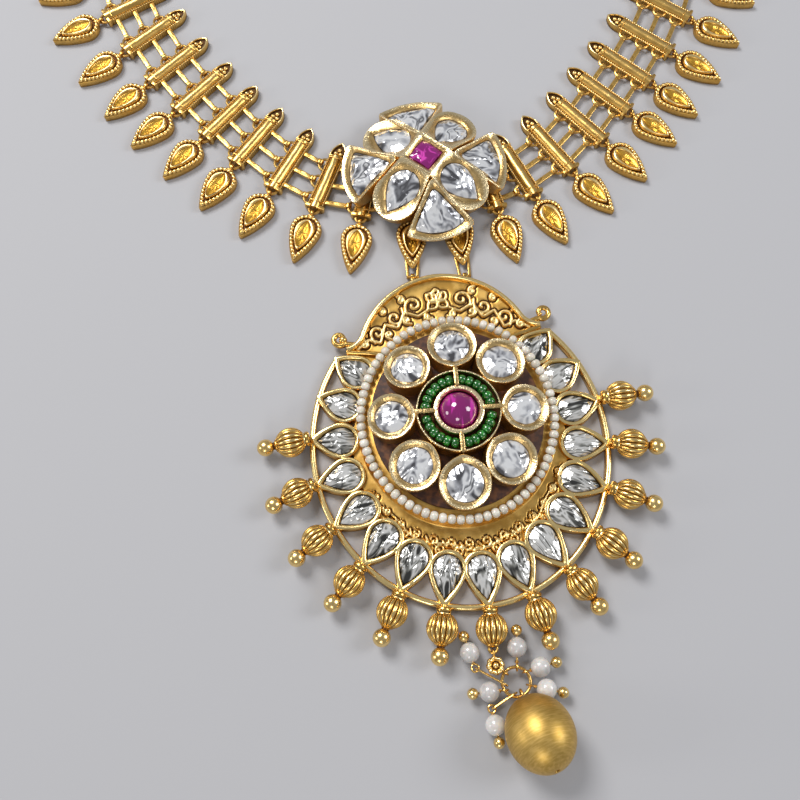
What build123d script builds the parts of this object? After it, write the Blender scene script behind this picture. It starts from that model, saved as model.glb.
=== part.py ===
from build123d import *
from math import acos, asin, atan2, cos, degrees, hypot, pi, radians, sin, sqrt
import os

os.makedirs("parts", exist_ok=True)

# Kundan necklace lying flat, in millimetres. The origin is the middle of the pendant's ring,
# on the surface. +Y runs from the pendant to the clasp and +Z is up.

# Collar band: one casting, repeated round the whole front.
band_middle_x = -2.63
bar_width = 3.5
bar_height = 1.5
bar_length = 18.2
bar_foot = -bar_length / 2
bar_tip = bar_length / 2
finial_length = 4.0
finial_bulge = 0.44
finial_height = 1.3
bar_shoulder = bar_tip - finial_length
rib_radius = 1.3
rib_middle_height = 1.3
edge_width = 0.4
edge_height = 1.85
flange_width = 4.6
flange_length = 0.8
flange_height = 2.2
granule_radius = 0.52
granule_spread = 0.58
granule_rows = (1.0, 2.0)
shoulder_margin = 0.1
border_width = 0.45
border_height = 1.8

# Links between neighbours: wire rings on the left edge, flat tabs with an eye on the right.
link_rows = (2.3, -2.2, -6.7)
link_height = 1.1
ring_radius = 1.45
ring_wire = 0.26
eye_hole = 0.46
eye_radius = 0.8
tab_width = 1.1
tab_thickness = 0.7
tab_root = 0.4

# Leaf drops under the bars.
drop_ring_radius = 1.1
bail_ring_radius = 1.5
drop_neck = 1.95
drop_eye_width = 0.6
drop_length = 11.75
drop_radius = 3.4
drop_wall_height = 1.6
drop_rope_width = 0.95
drop_rope_height = 2.2
leaf_height = 2.5
leaf_groove_depth = 0.8
leaf_channel = 0.2
leaf_bow = 20
leaf_groove_start = 0.4
leaf_groove_width = 0.4
leaf_groove_middle = 0.7
leaf_groove_end = 0.8
hollow_back = 0.95

# Plain back chain and hook.
arc_radius = 69.0
arc_middle_y = 140.75
bar_pitch = 9.8
rear_bars = 7
chain_height = 1.55
chain_wire = 0.4
link_length = 6.0
link_width = 4.0
links_each_side = 17
hook_radius = 2.4
hook_wire = 0.5
end_ring_radius = 1.7
end_ring_wire = 0.32
end_ring_slack = 1.05
end_stub_width = 1.0
end_stub_height = 1.0
end_stub_margin = 0.45
hook_slack = 1.4
hook_opening = 60

# Pendant: an upright oval ring of pointed frames round a raised flower.
pendant_turn = 4.2
pendant_half_width = 30.0
pendant_oval = 1.095
frame_places = 22
frame_count = 17
ring_wire_width = 1.2
ring_height = 1.9
frame_radius = 3.75
side_reach = 6.5
lower_reach = 7.5
frame_wall = 0.95
frame_height = 2.3
frame_floor = 0.8
base_height = 1.3
base_half_width = 21.4
flower_rise = 4.5
drum_foot = 20.1
drum_shoulder = 18.4
drum_height = 3.6

# Crown over the flower.
crown_shift = 0.3
crown_shoulder = (16.5, 25.3)
crown_flare = (18.0, 23.4)
crown_foot = (20.2, 22.6)
crown_arch = (9.4, 33.5)
crown_apex = 36.4
crown_skirt = 3.0
crown_rim_width = 1.3
crown_rim_height = 3.3
crown_field_height = 1.6
volute_middle = (21.4, 25.3)
volute_radius = 1.3
volute_wire = 1.0
volute_height = 2.7
volute_root = (17.6, 23.4)
volute_start = -110
volute_span = 290
volute_stem_inset = 0.4
scroll_wire = 0.45
scroll_height = 0.35
base_scroll_radius = 18.1

# Flower: eight petal bezels round a cabochon in a green bead ring.
flower_floor = 3.7
flower_plate = 0.7
oval = 1.078
petal_distance = 13.2
petal_lip = 1.5
petal_rim_height = 7.9
petal_tilt = 8.0
seat_depth = 1.5
pearl_ring = 19.1
pearl_wire = 1.0
pearl_height = 4.75
boss_radius = 5.0
boss_height = 9.6
cabochon_radius = 3.75
cabochon_rise = 2.6
cabochon_wall = 0.4
plate_margin = 1.0
gutter_floor = 6.95
gutter_wall_radius = 7.9
gutter_wall = 0.4
gutter_wall_height = 8.9
green_ring = 6.45
green_wire = 1.1
green_height = 8.15
claw_width = 0.9
claw_height = 0.55
claw_grip = 0.4

# Cluster on the front of the collar: a square stone, four pears and four fans on a dome.
cluster_middle = (-2.1, 61.85)
cluster_turn = 5.0
cluster_floor = 2.85
cluster_top = 10.2
cluster_slope = 22.0
square_side = 7.6
square_stone = 5.2
shield_distance = 9.3
block_depth = 9.0
rim_drop = 0.3
fan_extra_slope = 2.0
fan_seat_slack = 0.3
post_width = 2.0
post_length = 8.0
post_y = -1.5
post_overlap = 0.6

# Melon bead drops round the pendant, each on a headpin through a collar at a frame's tip.
melon_first = 2
melon_radius = 3.0
melon_length = 5.6
melon_end = 1.2
melon_ribs = 14
melon_groove = 0.38
melon_groove_shift = 0.1
melon_offset = 3.65
melon_height = 3.05
collar_radius = 1.5
collar_inside = 0.15
collar_outside = 0.7
headpin_radius = 0.3
headpin_hole = 0.42
head_radius = 0.6
head_length = 0.4
neck_radius = 0.75
end_ball_radius = 1.7
end_ball_offset = 5.0
melon_eye_radius = 0.75
melon_eye_wire = 0.25
melon_eye_offset = 0.65

# Bails between the collar band and the crown.
bail_height = 0.75
bail_top = 0.75
bail_floor = 0.1
bail_strap = 0.6
bail_wire = 0.28
bail_eye_turn = 35.0
bail_eye_width = 0.6
bail_half_width = 1.0
bail_step = 0.75
bail_bend_y = -3.0
bail_flare = 1.05
lug_hole = 0.45
lug_radius = 0.72
lug_width = 0.9
lug_reach = 1.5

# Tassel under the pendant.
tassel_ring_middle = (2.5, -46.2)
tassel_ring_radius = 2.6
tassel_ring_wire = 0.3
tassel_height = 2.1
pin_wire = 0.18
pin_eye_radius = 0.68
pearl_radius = 1.85
pearl_hole = 0.3
pin_ball_radius = 1.05
pin_ball_reach = 3.02
rosette_middle = (-0.82, -42.86)
rosette_floor = 2.6
rosette_height = 1.0
rosette_radius = 1.35
rosette_petal = 0.6
rosette_petal_distance = 1.2
rosette_petals = 8
rosette_ring_angle = 133
matte_middle = (4.52, -55.13)
matte_radius = 6.1
matte_half_length = 6.9
matte_pitch = 27.0
matte_loop_radius = 1.1
matte_loop_wire = 0.25
matte_hang_angle = -75
drill_mouth = (-matte_half_length, 0, 0)
drill_turn = -90.0
drill_radius = 0.5
drill_depth = 1.2
far_link_slack = 0.45

gap = 0.1
overlap = 0.1


def turned(point, degrees_turned):
    """A flat point turned about the origin."""
    angle = radians(degrees_turned)
    x, y = point
    return (x * cos(angle) - y * sin(angle), x * sin(angle) + y * cos(angle))


def heading(start, end):
    """Distance and angle in degrees from one flat point to another."""
    along, across = end[0] - start[0], end[1] - start[1]
    return hypot(along, across), degrees(atan2(across, along))


def upright_plane(point, height, angle):
    """A vertical plane through a point, whose X runs level at the angle and Y runs up."""
    direction = Vector(cos(radians(angle)), sin(radians(angle)), 0)
    return Plane(
        origin=(point[0], point[1], height),
        x_dir=direction,
        z_dir=direction.cross(Vector(0, 0, 1)),
    )


def petal_plane(middle, turn, distance, angle, height, tilt, stretch=1.0):
    """The plane of a petal's rim: Y runs outwards from the middle and slopes down by the tilt."""
    x, y = turned((distance * cos(radians(angle)), stretch * distance * sin(radians(angle))), turn)
    out = atan2(y, x)
    lean = radians(tilt)
    normal = Vector(sin(lean) * cos(out), sin(lean) * sin(out), cos(lean))
    across = Vector(sin(out), -cos(out), 0)
    return Plane(origin=(middle[0] + x, middle[1] + y, height), x_dir=across, z_dir=normal)


class Leaf(BaseSketchObject):
    """A round end about the origin and two bowed sides that meet in a point on +Y."""

    def __init__(self, radius, reach, bow=14.0, rotation=0, mode=Mode.ADD):
        joint = 90 - degrees(acos(radius / reach)) - bow
        with BuildSketch() as outline:
            with BuildLine():
                cap = CenterArc((0, 0), radius, joint, -180 - 2 * joint)
                side = TangentArc(cap @ 1, (0, reach), tangent=cap % 1)
                mirror(side, about=Plane.YZ)
            make_face()
        super().__init__(outline.sketch.face(), rotation, None, mode)


class Oval(BaseSketchObject):
    """Four tangent arcs: narrow ends on Y and flatter sides on X."""

    def __init__(self, half_width, half_height, rotation=0, mode=Mode.ADD):
        with BuildSketch() as outline:
            with BuildLine():
                oval_arcs(half_width, half_height)
            make_face()
        super().__init__(outline.sketch.face(), rotation, None, mode)


class Fan(BaseSketchObject):
    """A three-sided stone's outline: its corner points to -Y and its far edge is an arc."""

    def __init__(self, half_width, inner, shoulder, outer, rotation=0, mode=Mode.ADD):
        with BuildSketch() as outline:
            with BuildLine():
                Line((0, -inner), (half_width, shoulder))
                ThreePointArc((half_width, shoulder), (0, outer), (-half_width, shoulder))
                Line((-half_width, shoulder), (0, -inner))
            make_face()
            corners = outline.vertices().sort_by(Axis.Y)[1:]
            fillet(corners, radius=1.5)
        super().__init__(outline.sketch.face(), rotation, None, mode)


class Shield(BaseSketchObject):
    """A straight inner edge, two sides that widen, and a round outer end."""

    def __init__(self, inner_half, half_width, inner, outer, rotation=0, mode=Mode.ADD):
        with BuildSketch() as outline:
            with BuildLine():
                Line((-inner_half, -inner), (inner_half, -inner))
                side = Line((inner_half, -inner), (half_width, 0))
                end = TangentArc(side @ 1, (0, outer), tangent=side % 1)
                mirror(side, about=Plane.YZ)
                mirror(end, about=Plane.YZ)
            make_face()
        super().__init__(outline.sketch.face(), rotation, None, mode)


def oval_arcs(half_width, half_height):
    """The four tangent arcs of an oval, joined where their tangents slope at 45 degrees."""
    shift = (half_height - half_width) / (2 - sqrt(2))
    narrow, flat = half_height - shift, half_width + shift
    CenterArc((-shift, 0), flat, -45, 90)
    CenterArc((0, shift), narrow, 45, 90)
    CenterArc((shift, 0), flat, 135, 90)
    CenterArc((0, -shift), narrow, 225, 90)


def leaf_corners(radius, reach, sides=9):
    """Corners of a cut stone: points round the round end, then the tip."""
    joint = degrees(acos(radius / reach))
    step = (360 - 2 * joint) / (sides - 1)
    angles = [90 + joint + step * i for i in range(sides)]
    return [(radius * cos(radians(a)), radius * sin(radians(a))) for a in angles] + [(0, reach)]


def fan_corners(half_width, inner, shoulder, outer):
    """Corners of a fan stone, with its corners cut off and its far edge in four chords."""
    cut = 0.16
    right = [
        (half_width * cut, -inner + cut * (shoulder + inner)),
        (half_width * (1 - cut / 2), shoulder - cut / 2 * (shoulder + inner)),
        (half_width * (1 - cut), shoulder + 0.35 * (outer - shoulder)),
        (half_width * 0.45, shoulder + 0.85 * (outer - shoulder)),
        (0, outer),
    ]
    left = [(-x, y) for x, y in right[-2::-1]]
    return right + left


def square_corners(side):
    """Corners of a square stone with its four corners cut."""
    half, cut = side / 2, side / 2 - 0.35
    return [
        (half, -cut), (half, cut), (cut, half), (-cut, half),
        (-half, cut), (-half, -cut), (-cut, -half), (cut, -half),
    ]


def cut_stone(plane, corners, middle, table, seat, girdle, crown):
    """A flat-backed stone: a straight girdle, one row of facets and a flat table."""
    small = [(middle[0] + table * (x - middle[0]), middle[1] + table * (y - middle[1]))
             for x, y in corners]
    with BuildPart() as stone:
        with BuildSketch(plane.offset(-seat)):
            with BuildLine():
                Polyline(*corners, close=True)
            make_face()
        extrude(amount=girdle)
        with BuildSketch(plane.offset(girdle - seat)):
            with BuildLine():
                Polyline(*corners, close=True)
            make_face()
        with BuildSketch(plane.offset(girdle + crown - seat)):
            with BuildLine():
                Polyline(*small, close=True)
            make_face()
        loft(ruled=True)
    return stone


# Bars of the collar: where each lies, from the left end of the band to the right end.
front_rows = [
    {"out": 4.3, "up": 61.75, "lean": 3.0, "shift": 1.6},
    {"out": 13.0, "up": 61.25, "lean": 13.2, "shift": 0.8},
    {"out": 20.7, "up": 63.6, "lean": 23.9, "shift": 0},
    {"out": 28.6, "up": 68.61, "lean": 32.1, "shift": 0},
    {"out": 35.9, "up": 75.19, "lean": 38.7, "shift": 0},
    {"out": 42.15, "up": 82.1, "lean": 43.6, "shift": 0},
    {"out": 48.25, "up": 89.33, "lean": 46.0, "shift": 0},
    {"out": 54.25, "up": 97.29, "lean": 48.8, "shift": 0},
    {"out": 59.8, "up": 106.25, "lean": 52.0, "shift": 0},
]
start_angle = -30.0
start_shear = 8.0

bar_rows = list(front_rows)
for step in range(1, rear_bars + 1):
    angle = start_angle + step * degrees(bar_pitch / arc_radius)
    shear = start_shear * max(0.0, 1 - step / 4)
    bar_rows.append({
        "out": arc_radius * cos(radians(angle)),
        "up": arc_middle_y + arc_radius * sin(radians(angle)),
        "lean": 90 + angle - shear,
        "shift": 0,
    })


def bar_place(side, row):
    """Middle and turn of a bar: its own +Y runs up to the finial and its +X to the right."""
    return (band_middle_x + row["shift"] + side * row["out"], row["up"], side * row["lean"])


left_places = [bar_place(-1, row) for row in bar_rows][::-1]
right_places = [bar_place(1, row) for row in bar_rows]
bar_places = left_places + right_places
middle_bars = (len(left_places) - 1, len(left_places))


def on_bar(place, x, y):
    """A point given in a bar's own frame."""
    dx, dy = turned((x, y), place[2])
    return (place[0] + dx, place[1] + dy)


with BuildPart() as bar_blank:
    with BuildSketch():
        with Locations((0, (bar_foot + bar_shoulder) / 2)):
            Rectangle(bar_width, bar_shoulder - bar_foot)
    extrude(amount=bar_height)
    with BuildSketch(Plane.XZ.offset(-bar_shoulder)):
        with Locations((0, rib_middle_height)):
            Circle(rib_radius)
        with Locations((bar_width / 2 - edge_width / 2, edge_height / 2),
                       (edge_width / 2 - bar_width / 2, edge_height / 2)):
            Rectangle(edge_width, edge_height)
    extrude(amount=bar_shoulder - bar_foot)
    with BuildSketch():
        with Locations((0, bar_foot + flange_length / 2)):
            Rectangle(flange_width, flange_length)
        with Locations((0, bar_shoulder)):
            Rectangle(bar_width + 2 * shoulder_margin, border_width)
    extrude(amount=flange_height)
    with BuildSketch() as finial:
        with BuildLine():
            base = Line((-bar_width / 2, bar_shoulder), (bar_width / 2, bar_shoulder))
            flank = ThreePointArc(
                base @ 1,
                (finial_bulge * bar_width, bar_shoulder + finial_length / 2),
                (0, bar_tip),
            )
            mirror(flank, about=Plane.YZ)
        make_face()
    extrude(amount=finial_height)
    with BuildSketch():
        add(finial.sketch)
        offset(amount=-border_width, mode=Mode.SUBTRACT)
    extrude(amount=border_height)
    with Locations((-granule_spread, bar_shoulder + granule_rows[0], finial_height),
                   (granule_spread, bar_shoulder + granule_rows[0], finial_height),
                   (0, bar_shoulder + granule_rows[1], finial_height)):
        Sphere(granule_radius)

with BuildPart() as ringed_bar:
    add(bar_blank.part)
    with Locations(*[(-bar_width / 2, y, link_height) for y in link_rows]):
        Torus(ring_radius, ring_wire)


def end_bar(side):
    """A last bar, with one raised ring on its outer edge for the back chain."""
    with BuildPart() as bar:
        add(bar_blank.part if side < 0 else ringed_bar.part)
        with Locations((side * bar_width / 2, 0, chain_height)):
            Torus(end_ring_radius, end_ring_wire)
        with Locations((side * (bar_width - end_stub_width) / 2, 0, bar_height)):
            Box(end_stub_width, 2 * (end_ring_radius + end_stub_margin), end_stub_height)
        split(bisect_by=Plane.XY, keep=Keep.TOP)
    return bar.part


def linked_bar(index):
    """One bar in its place, with the three tabs whose eyes hold the next bar's rings."""
    place = bar_places[index]
    blank = ringed_bar.part
    if index == 0:
        blank = end_bar(-1)
    if index == len(bar_places) - 1:
        blank = end_bar(1)
    with BuildPart() as bar:
        foot = on_bar(place, 0, bar_foot)
        with Locations(Location((place[0], place[1], 0), (0, 0, place[2]))):
            add(blank)
        with Locations((*foot, link_height)):
            Torus(bail_ring_radius if index in middle_bars else drop_ring_radius, ring_wire)
        if index < len(bar_places) - 1:
            for y in link_rows:
                middle = on_bar(bar_places[index + 1], -bar_width / 2, y)
                root = on_bar(place, bar_width / 2, y)
                distance, angle = heading(middle, root)
                reach = distance - ring_radius + tab_root
                wire = (middle[0] + ring_radius * cos(radians(angle)),
                        middle[1] + ring_radius * sin(radians(angle)))
                with BuildSketch(upright_plane(wire, link_height, angle)):
                    Circle(eye_radius)
                    with Locations((reach / 2, 0)):
                        Rectangle(reach, tab_thickness)
                    Circle(eye_hole, mode=Mode.SUBTRACT)
                extrude(amount=tab_width / 2, both=True)
    return bar.part


bars = [linked_bar(i) for i in range(len(bar_places))]

with BuildPart() as bar_links_left:
    add(bars[:middle_bars[0]])
bar_links_left.part.label = "bar_links_left"
export_step(bar_links_left.part, "parts/bar_links_left.step")

with BuildPart() as bar_links_right:
    add(bars[middle_bars[1] + 1:])
bar_links_right.part.label = "bar_links_right"
export_step(bar_links_right.part, "parts/bar_links_right.step")

# Leaf drop: its own origin is the middle of the ring that it hangs on, its point is on -Y.
drop_cap_y = -(drop_neck + drop_radius)
drop_reach = drop_length - drop_radius
with BuildPart() as leaf_body:
    with BuildSketch():
        with Locations(Location((0, drop_cap_y), 180)):
            Leaf(drop_radius, drop_reach)
    extrude(amount=drop_wall_height)
    with BuildSketch():
        with Locations(Location((0, drop_cap_y), 180)):
            Leaf(drop_radius, drop_reach)
            inner = drop_radius - drop_rope_width
            Leaf(inner, drop_reach * inner / drop_radius, mode=Mode.SUBTRACT)
    extrude(amount=drop_rope_height)
    leaf_radius = drop_radius - drop_rope_width - leaf_channel
    leaf_reach = drop_reach * leaf_radius / drop_radius
    with BuildSketch():
        with Locations(Location((0, drop_cap_y - leaf_channel), 180)):
            Leaf(leaf_radius, leaf_reach, bow=leaf_bow)
    extrude(amount=leaf_height)
    with BuildSketch(Plane.XY.offset(leaf_height)):
        with BuildLine():
            groove = ThreePointArc(
                (0, drop_cap_y + leaf_radius - leaf_groove_start),
                (leaf_groove_width * leaf_radius, drop_cap_y - leaf_groove_middle),
                (0, drop_cap_y - leaf_channel - leaf_groove_end * leaf_reach),
            )
            mirror(groove, about=Plane.YZ)
        make_face()
    extrude(amount=-leaf_groove_depth, mode=Mode.SUBTRACT)


def hung_leaf(ring, hollow):
    """A leaf with the eye that holds its ring; the hollow lifts the leaf's back off the surface."""
    with BuildPart() as drop:
        add(leaf_body.part)
        if hollow:
            split(bisect_by=Plane.XY.offset(hollow), keep=Keep.TOP)
        reach = drop_neck - ring + tab_root
        with BuildSketch(upright_plane((0, -ring), link_height, -90)):
            Circle(eye_radius)
            with Locations((reach / 2, 0)):
                Rectangle(reach, tab_thickness)
            Circle(eye_hole, mode=Mode.SUBTRACT)
        extrude(amount=drop_eye_width / 2, both=True)
    return drop.part


leaf_drop = hung_leaf(drop_ring_radius, 0)
raised_leaf_drop = hung_leaf(bail_ring_radius, hollow_back)

# Each drop swings a little on its own ring.
drop_swings = (0, -3, 1, 3, -1, 2, -2, 0)


def drop_place(index):
    """Where a bar's drop hangs."""
    place = bar_places[index]
    x, y = on_bar(place, 0, bar_foot)
    swing = drop_swings[index % len(drop_swings)]
    if index in (middle_bars[0] - 1, middle_bars[1] + 1) or index in middle_bars:
        swing = 0
    return Location((x, y, 0), (0, 0, place[2] + swing))


def hung_drops(indexes):
    """The leaf drops of a run of bars; the two middle ones clear the bails."""
    return [drop_place(i) * (raised_leaf_drop if i in middle_bars else leaf_drop) for i in indexes]


half = len(left_places)
with BuildPart() as leaf_drops_left:
    add(hung_drops(range(half)))
leaf_drops_left.part.label = "leaf_drops_left"
export_step(leaf_drops_left.part, "parts/leaf_drops_left.step")

with BuildPart() as leaf_drops_right:
    add(hung_drops(range(half, 2 * half)))
leaf_drops_right.part.label = "leaf_drops_right"
export_step(leaf_drops_right.part, "parts/leaf_drops_right.step")

# Bails: each hangs on a middle bar's ring by two eyes and holds a lug of the crown by its bar.
bail_reaches = {middle_bars[0]: 15.15, middle_bars[1]: 15.75}


def bail(index):
    """Two flat straps that run under a leaf drop, joined by a round bar at their lower ends."""
    place = bar_places[index]
    x, y = on_bar(place, 0, bar_foot)
    reach = bail_reaches[index]
    with BuildPart() as part:
        for side in (-1, 1):
            angle = -90 + side * (90 - bail_eye_turn)
            eye = turned((bail_ring_radius, 0), angle)
            with BuildSketch(upright_plane(eye, link_height, angle)):
                Circle(eye_radius)
                with Locations((bail_step, (bail_floor - link_height) / 2)):
                    Rectangle(bail_strap, link_height - bail_floor)
                Circle(eye_hole, mode=Mode.SUBTRACT)
            extrude(amount=bail_eye_width / 2, both=True)
            start = turned((bail_ring_radius + bail_step, 0), angle)
            bend_point = (bail_flare * start[0], bail_bend_y)
            foot_point = (side * bail_half_width, -reach - bail_wire)
            with BuildSketch(Plane.XY.offset(bail_floor)):
                with BuildLine():
                    Polyline(start, bend_point, foot_point)
                trace(line_width=bail_strap)
            extrude(amount=bail_top - bail_floor)
        with BuildSketch(Plane.YZ):
            with Locations((-reach, bail_height)):
                Circle(bail_wire)
        extrude(amount=bail_half_width + bail_strap / 2, both=True)
    return Location((x, y, 0), (0, 0, place[2])) * part.part


with BuildPart() as pendant_bails:
    add([bail(i) for i in middle_bars])
pendant_bails.part.label = "pendant_bails"
export_step(pendant_bails.part, "parts/pendant_bails.step")

# Back chain: oval wire links in turn leaning left and right.
straight = link_length - link_width
bend = link_width / 2 - chain_wire
with BuildPart() as chain_link:
    with BuildLine() as link_path:
        lower = Line((-straight / 2, -bend), (straight / 2, -bend))
        CenterArc((straight / 2, 0), bend, -90, 180)
        Line((straight / 2, bend), (-straight / 2, bend))
        CenterArc((-straight / 2, 0), bend, 90, 180)
    with BuildSketch(Plane(origin=lower @ 0.5, z_dir=(1, 0, 0))):
        Circle(chain_wire)
    sweep(path=link_path.wire())

last_angle = start_angle + rear_bars * degrees(bar_pitch / arc_radius)
grip = link_length / 2 - chain_wire
first_reach = bar_width / 2 + end_ring_radius - end_ring_slack + grip


def chain_places(side):
    """Places of the links along the arc, from the last bar to the hook."""
    places = []
    start = last_angle + degrees(first_reach / arc_radius)
    end = 90 - degrees((2 * hook_radius - hook_slack + grip) / arc_radius)
    step = (end - start) / (links_each_side - 1)
    for i in range(links_each_side):
        angle = radians(start + step * i)
        x = band_middle_x + side * arc_radius * cos(angle)
        y = arc_middle_y + arc_radius * sin(angle)
        level = degrees(angle) + 90 if side > 0 else 90 - degrees(angle)
        lean = 45 if i % 2 == 0 else -45
        places.append(
            Plane(origin=(x, y, chain_height), x_dir=(cos(radians(level)), sin(radians(level)), 0),
                  z_dir=(0, 0, 1)).location * Location((0, 0, 0), (lean, 0, 0))
        )
    return places, radians(step) * arc_radius


for side, name in ((-1, "back_chain_left"), (1, "back_chain_right")):
    places, pitch = chain_places(side)
    with BuildPart() as back_chain:
        with Locations(*places):
            add(chain_link.part)
    back_chain.part.label = name
    export_step(back_chain.part, f"parts/{name}.step")
print("chain link pitch", round(pitch, 3), "largest", link_length - 4 * chain_wire)

# Hook: one S of wire between the two ends of the chain.
hook_plane = Plane(origin=(band_middle_x, arc_middle_y + arc_radius, chain_height))
with BuildPart() as clasp_hook:
    with BuildLine(hook_plane) as hook_path:
        CenterArc((-hook_radius, 0), hook_radius, hook_opening, 360 - hook_opening)
        CenterArc((hook_radius, 0), hook_radius, 180, hook_opening - 360)
    with BuildSketch(Plane(origin=hook_path.wire() @ 0, z_dir=hook_path.wire() % 0)):
        Circle(hook_wire)
    sweep(path=hook_path.wire())
clasp_hook.part.label = "clasp_hook"
export_step(clasp_hook.part, "parts/clasp_hook.step")

# Cluster.
rim_middle = cluster_top - rim_drop


def dome_height(distance):
    """Height of the dome's rims at a distance from the middle."""
    return rim_middle - (distance - square_side / 2) * sin(radians(cluster_slope))


shield_planes = [
    petal_plane(cluster_middle, cluster_turn, shield_distance, angle,
                dome_height(shield_distance), cluster_slope)
    for angle in (45, 135, 225, 315)
]
fans = [
    {"name": "right", "angle": -3, "distance": 12.2},
    {"name": "upper", "angle": 93, "distance": 11.3},
    {"name": "left", "angle": 177, "distance": 12.4},
    {"name": "lower", "angle": 273, "distance": 12.0},
]
fan_planes = [
    petal_plane(cluster_middle, cluster_turn, row["distance"], row["angle"],
                dome_height(row["distance"]), cluster_slope + fan_extra_slope)
    for row in fans
]
square_plane = Plane(
    origin=(cluster_middle[0], cluster_middle[1], cluster_top),
    x_dir=(cos(radians(cluster_turn + 45)), sin(radians(cluster_turn + 45)), 0),
    z_dir=(0, 0, 1),
)
fan_sizes = {"half_width": 7.7, "inner": 7.2, "shoulder": 4.3, "outer": 6.6}
fan_stone = {"half_width": 5.6, "inner": 4.9, "shoulder": 3.2, "outer": 4.9}
shield_sizes = {"inner_half": 3.8, "half_width": 4.9, "inner": 6.2, "outer": 7.0}
pear_stone_radius = 3.55
pear_stone_reach = 6.4
pear_stone_shift = -1.0
flipped_stone_shift = 1.1

# Cut stones: height of the girdle, height of the facets, share of the table.
girdle = 0.7
facets = 0.9
table = 0.5
square_table = 0.6
frame_girdle = 0.6
frame_facets = 0.85
frame_table = 0.45
frame_table_shift = 0.6
petal_table_shift = -0.4

with BuildPart() as cluster_setting:
    for plane in fan_planes:
        with BuildSketch(plane):
            Fan(**fan_sizes)
        extrude(amount=-block_depth)
    for plane in shield_planes:
        with BuildSketch(plane):
            Shield(**shield_sizes)
        extrude(amount=-block_depth)
    with BuildSketch(square_plane):
        Rectangle(square_side, square_side)
    extrude(amount=-block_depth)
    split(bisect_by=Plane.XY.offset(cluster_floor), keep=Keep.TOP)
    for plane in fan_planes:
        with BuildSketch(plane.offset(-seat_depth)):
            Fan(**{key: value + fan_seat_slack for key, value in fan_stone.items()})
        extrude(amount=2 * seat_depth, mode=Mode.SUBTRACT)
    for index, plane in enumerate(shield_planes):
        with BuildSketch(plane.offset(-seat_depth)):
            shift, turn = (pear_stone_shift, 0) if index else (flipped_stone_shift, 180)
            with Locations(Location((0, shift), turn)):
                Leaf(pear_stone_radius + gap, pear_stone_reach + 2 * gap)
        extrude(amount=2 * seat_depth, mode=Mode.SUBTRACT)
    with BuildSketch(square_plane.offset(-seat_depth)):
        Rectangle(square_stone + 2 * gap, square_stone + 2 * gap)
    extrude(amount=2 * seat_depth, mode=Mode.SUBTRACT)
    add([bars[i] for i in middle_bars])
    for i in middle_bars:
        x, y = on_bar(bar_places[i], 0, post_y)
        post_middle = (x, y, (bar_height + cluster_floor) / 2)
        with Locations(Location(post_middle, (0, 0, bar_places[i][2]))):
            Box(post_width, post_length, cluster_floor - bar_height + post_overlap)
cluster_setting.part.label = "cluster_setting"
export_step(cluster_setting.part, "parts/cluster_setting.step")

stone_seat = seat_depth - gap
for plane, row in zip(fan_planes, fans):
    corners = fan_corners(**fan_stone)
    stone = cut_stone(plane, corners, (0, frame_table_shift), table, stone_seat, girdle, facets)
    stone.part.label = f"fan_stone_{row['name']}"
    export_step(stone.part, f"parts/fan_stone_{row['name']}.step")
pear_names = ("upper_right", "upper_left", "lower_left", "lower_right")
for index, (plane, name) in enumerate(zip(shield_planes, pear_names)):
    corners = leaf_corners(pear_stone_radius, pear_stone_reach)
    if index:
        corners = [(x, y + pear_stone_shift) for x, y in corners]
    else:
        corners = [(-x, flipped_stone_shift - y) for x, y in corners]
    stone = cut_stone(plane, corners, (0, 0), table, stone_seat, girdle, facets)
    stone.part.label = f"pear_stone_{name}"
    export_step(stone.part, f"parts/pear_stone_{name}.step")
corners = square_corners(square_stone)
stone = cut_stone(square_plane, corners, (0, 0), square_table, stone_seat, girdle, facets)
stone.part.label = "square_stone"
export_step(stone.part, "parts/square_stone.step")

# Pendant frame, drawn on a plane turned with the pendant.
pendant_plane = Plane.XY.rotated((0, 0, pendant_turn))
frame_step = 360 / frame_places
frame_spread = [frame_step * (i - (frame_count - 1) / 2) for i in range(frame_count)]
frame_angles = [-90 + spread for spread in frame_spread]


def ring_point(angle, scale=1.0):
    """A point of the pendant's outer oval."""
    return (scale * pendant_half_width * cos(radians(angle)),
            scale * pendant_half_width * pendant_oval * sin(radians(angle)))


frame_reaches = [side_reach + (lower_reach - side_reach) * cos(radians(spread))
                 for spread in frame_spread]


def frame_location(angle, reach):
    """Middle of a frame's round end, with the frame's +Y turned outwards."""
    x, y = ring_point(angle)
    length = hypot(x, y)
    keep = (length - reach) / length
    return Location((x * keep, y * keep), degrees(atan2(y, x)) - 90)


frame_locations = [frame_location(a, reach) for a, reach in zip(frame_angles, frame_reaches)]
seat_radius = frame_radius - frame_wall
ring_share = 1 - 0.5 * ring_wire_width / pendant_half_width


class Scroll(BaseSketchObject):
    """A chased curl: three arcs that wind in, drawn as a thin raised line."""

    def __init__(self, size, rotation=0, mode=Mode.ADD):
        with BuildSketch() as curl:
            with BuildLine():
                CenterArc((0, 0), size, 200, 160)
                CenterArc((0.3 * size, 0), 0.7 * size, 0, 180)
                CenterArc((0, 0), 0.4 * size, 180, 150)
            trace(line_width=scroll_wire)
        super().__init__(curl.sketch, rotation, None, mode)


crown_scrolls = [
    {"x": 14.2, "y": 26.2, "size": 1.1, "turn": 20},
    {"x": 11.4, "y": 29.6, "size": 1.35, "turn": -40},
    {"x": 7.2, "y": 31.9, "size": 1.2, "turn": 150},
    {"x": 2.4, "y": 31.4, "size": 1.3, "turn": 60},
]
base_scroll_turns = (-56, -42, -28, -14, 0, 14, 28, 42, 56)

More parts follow.
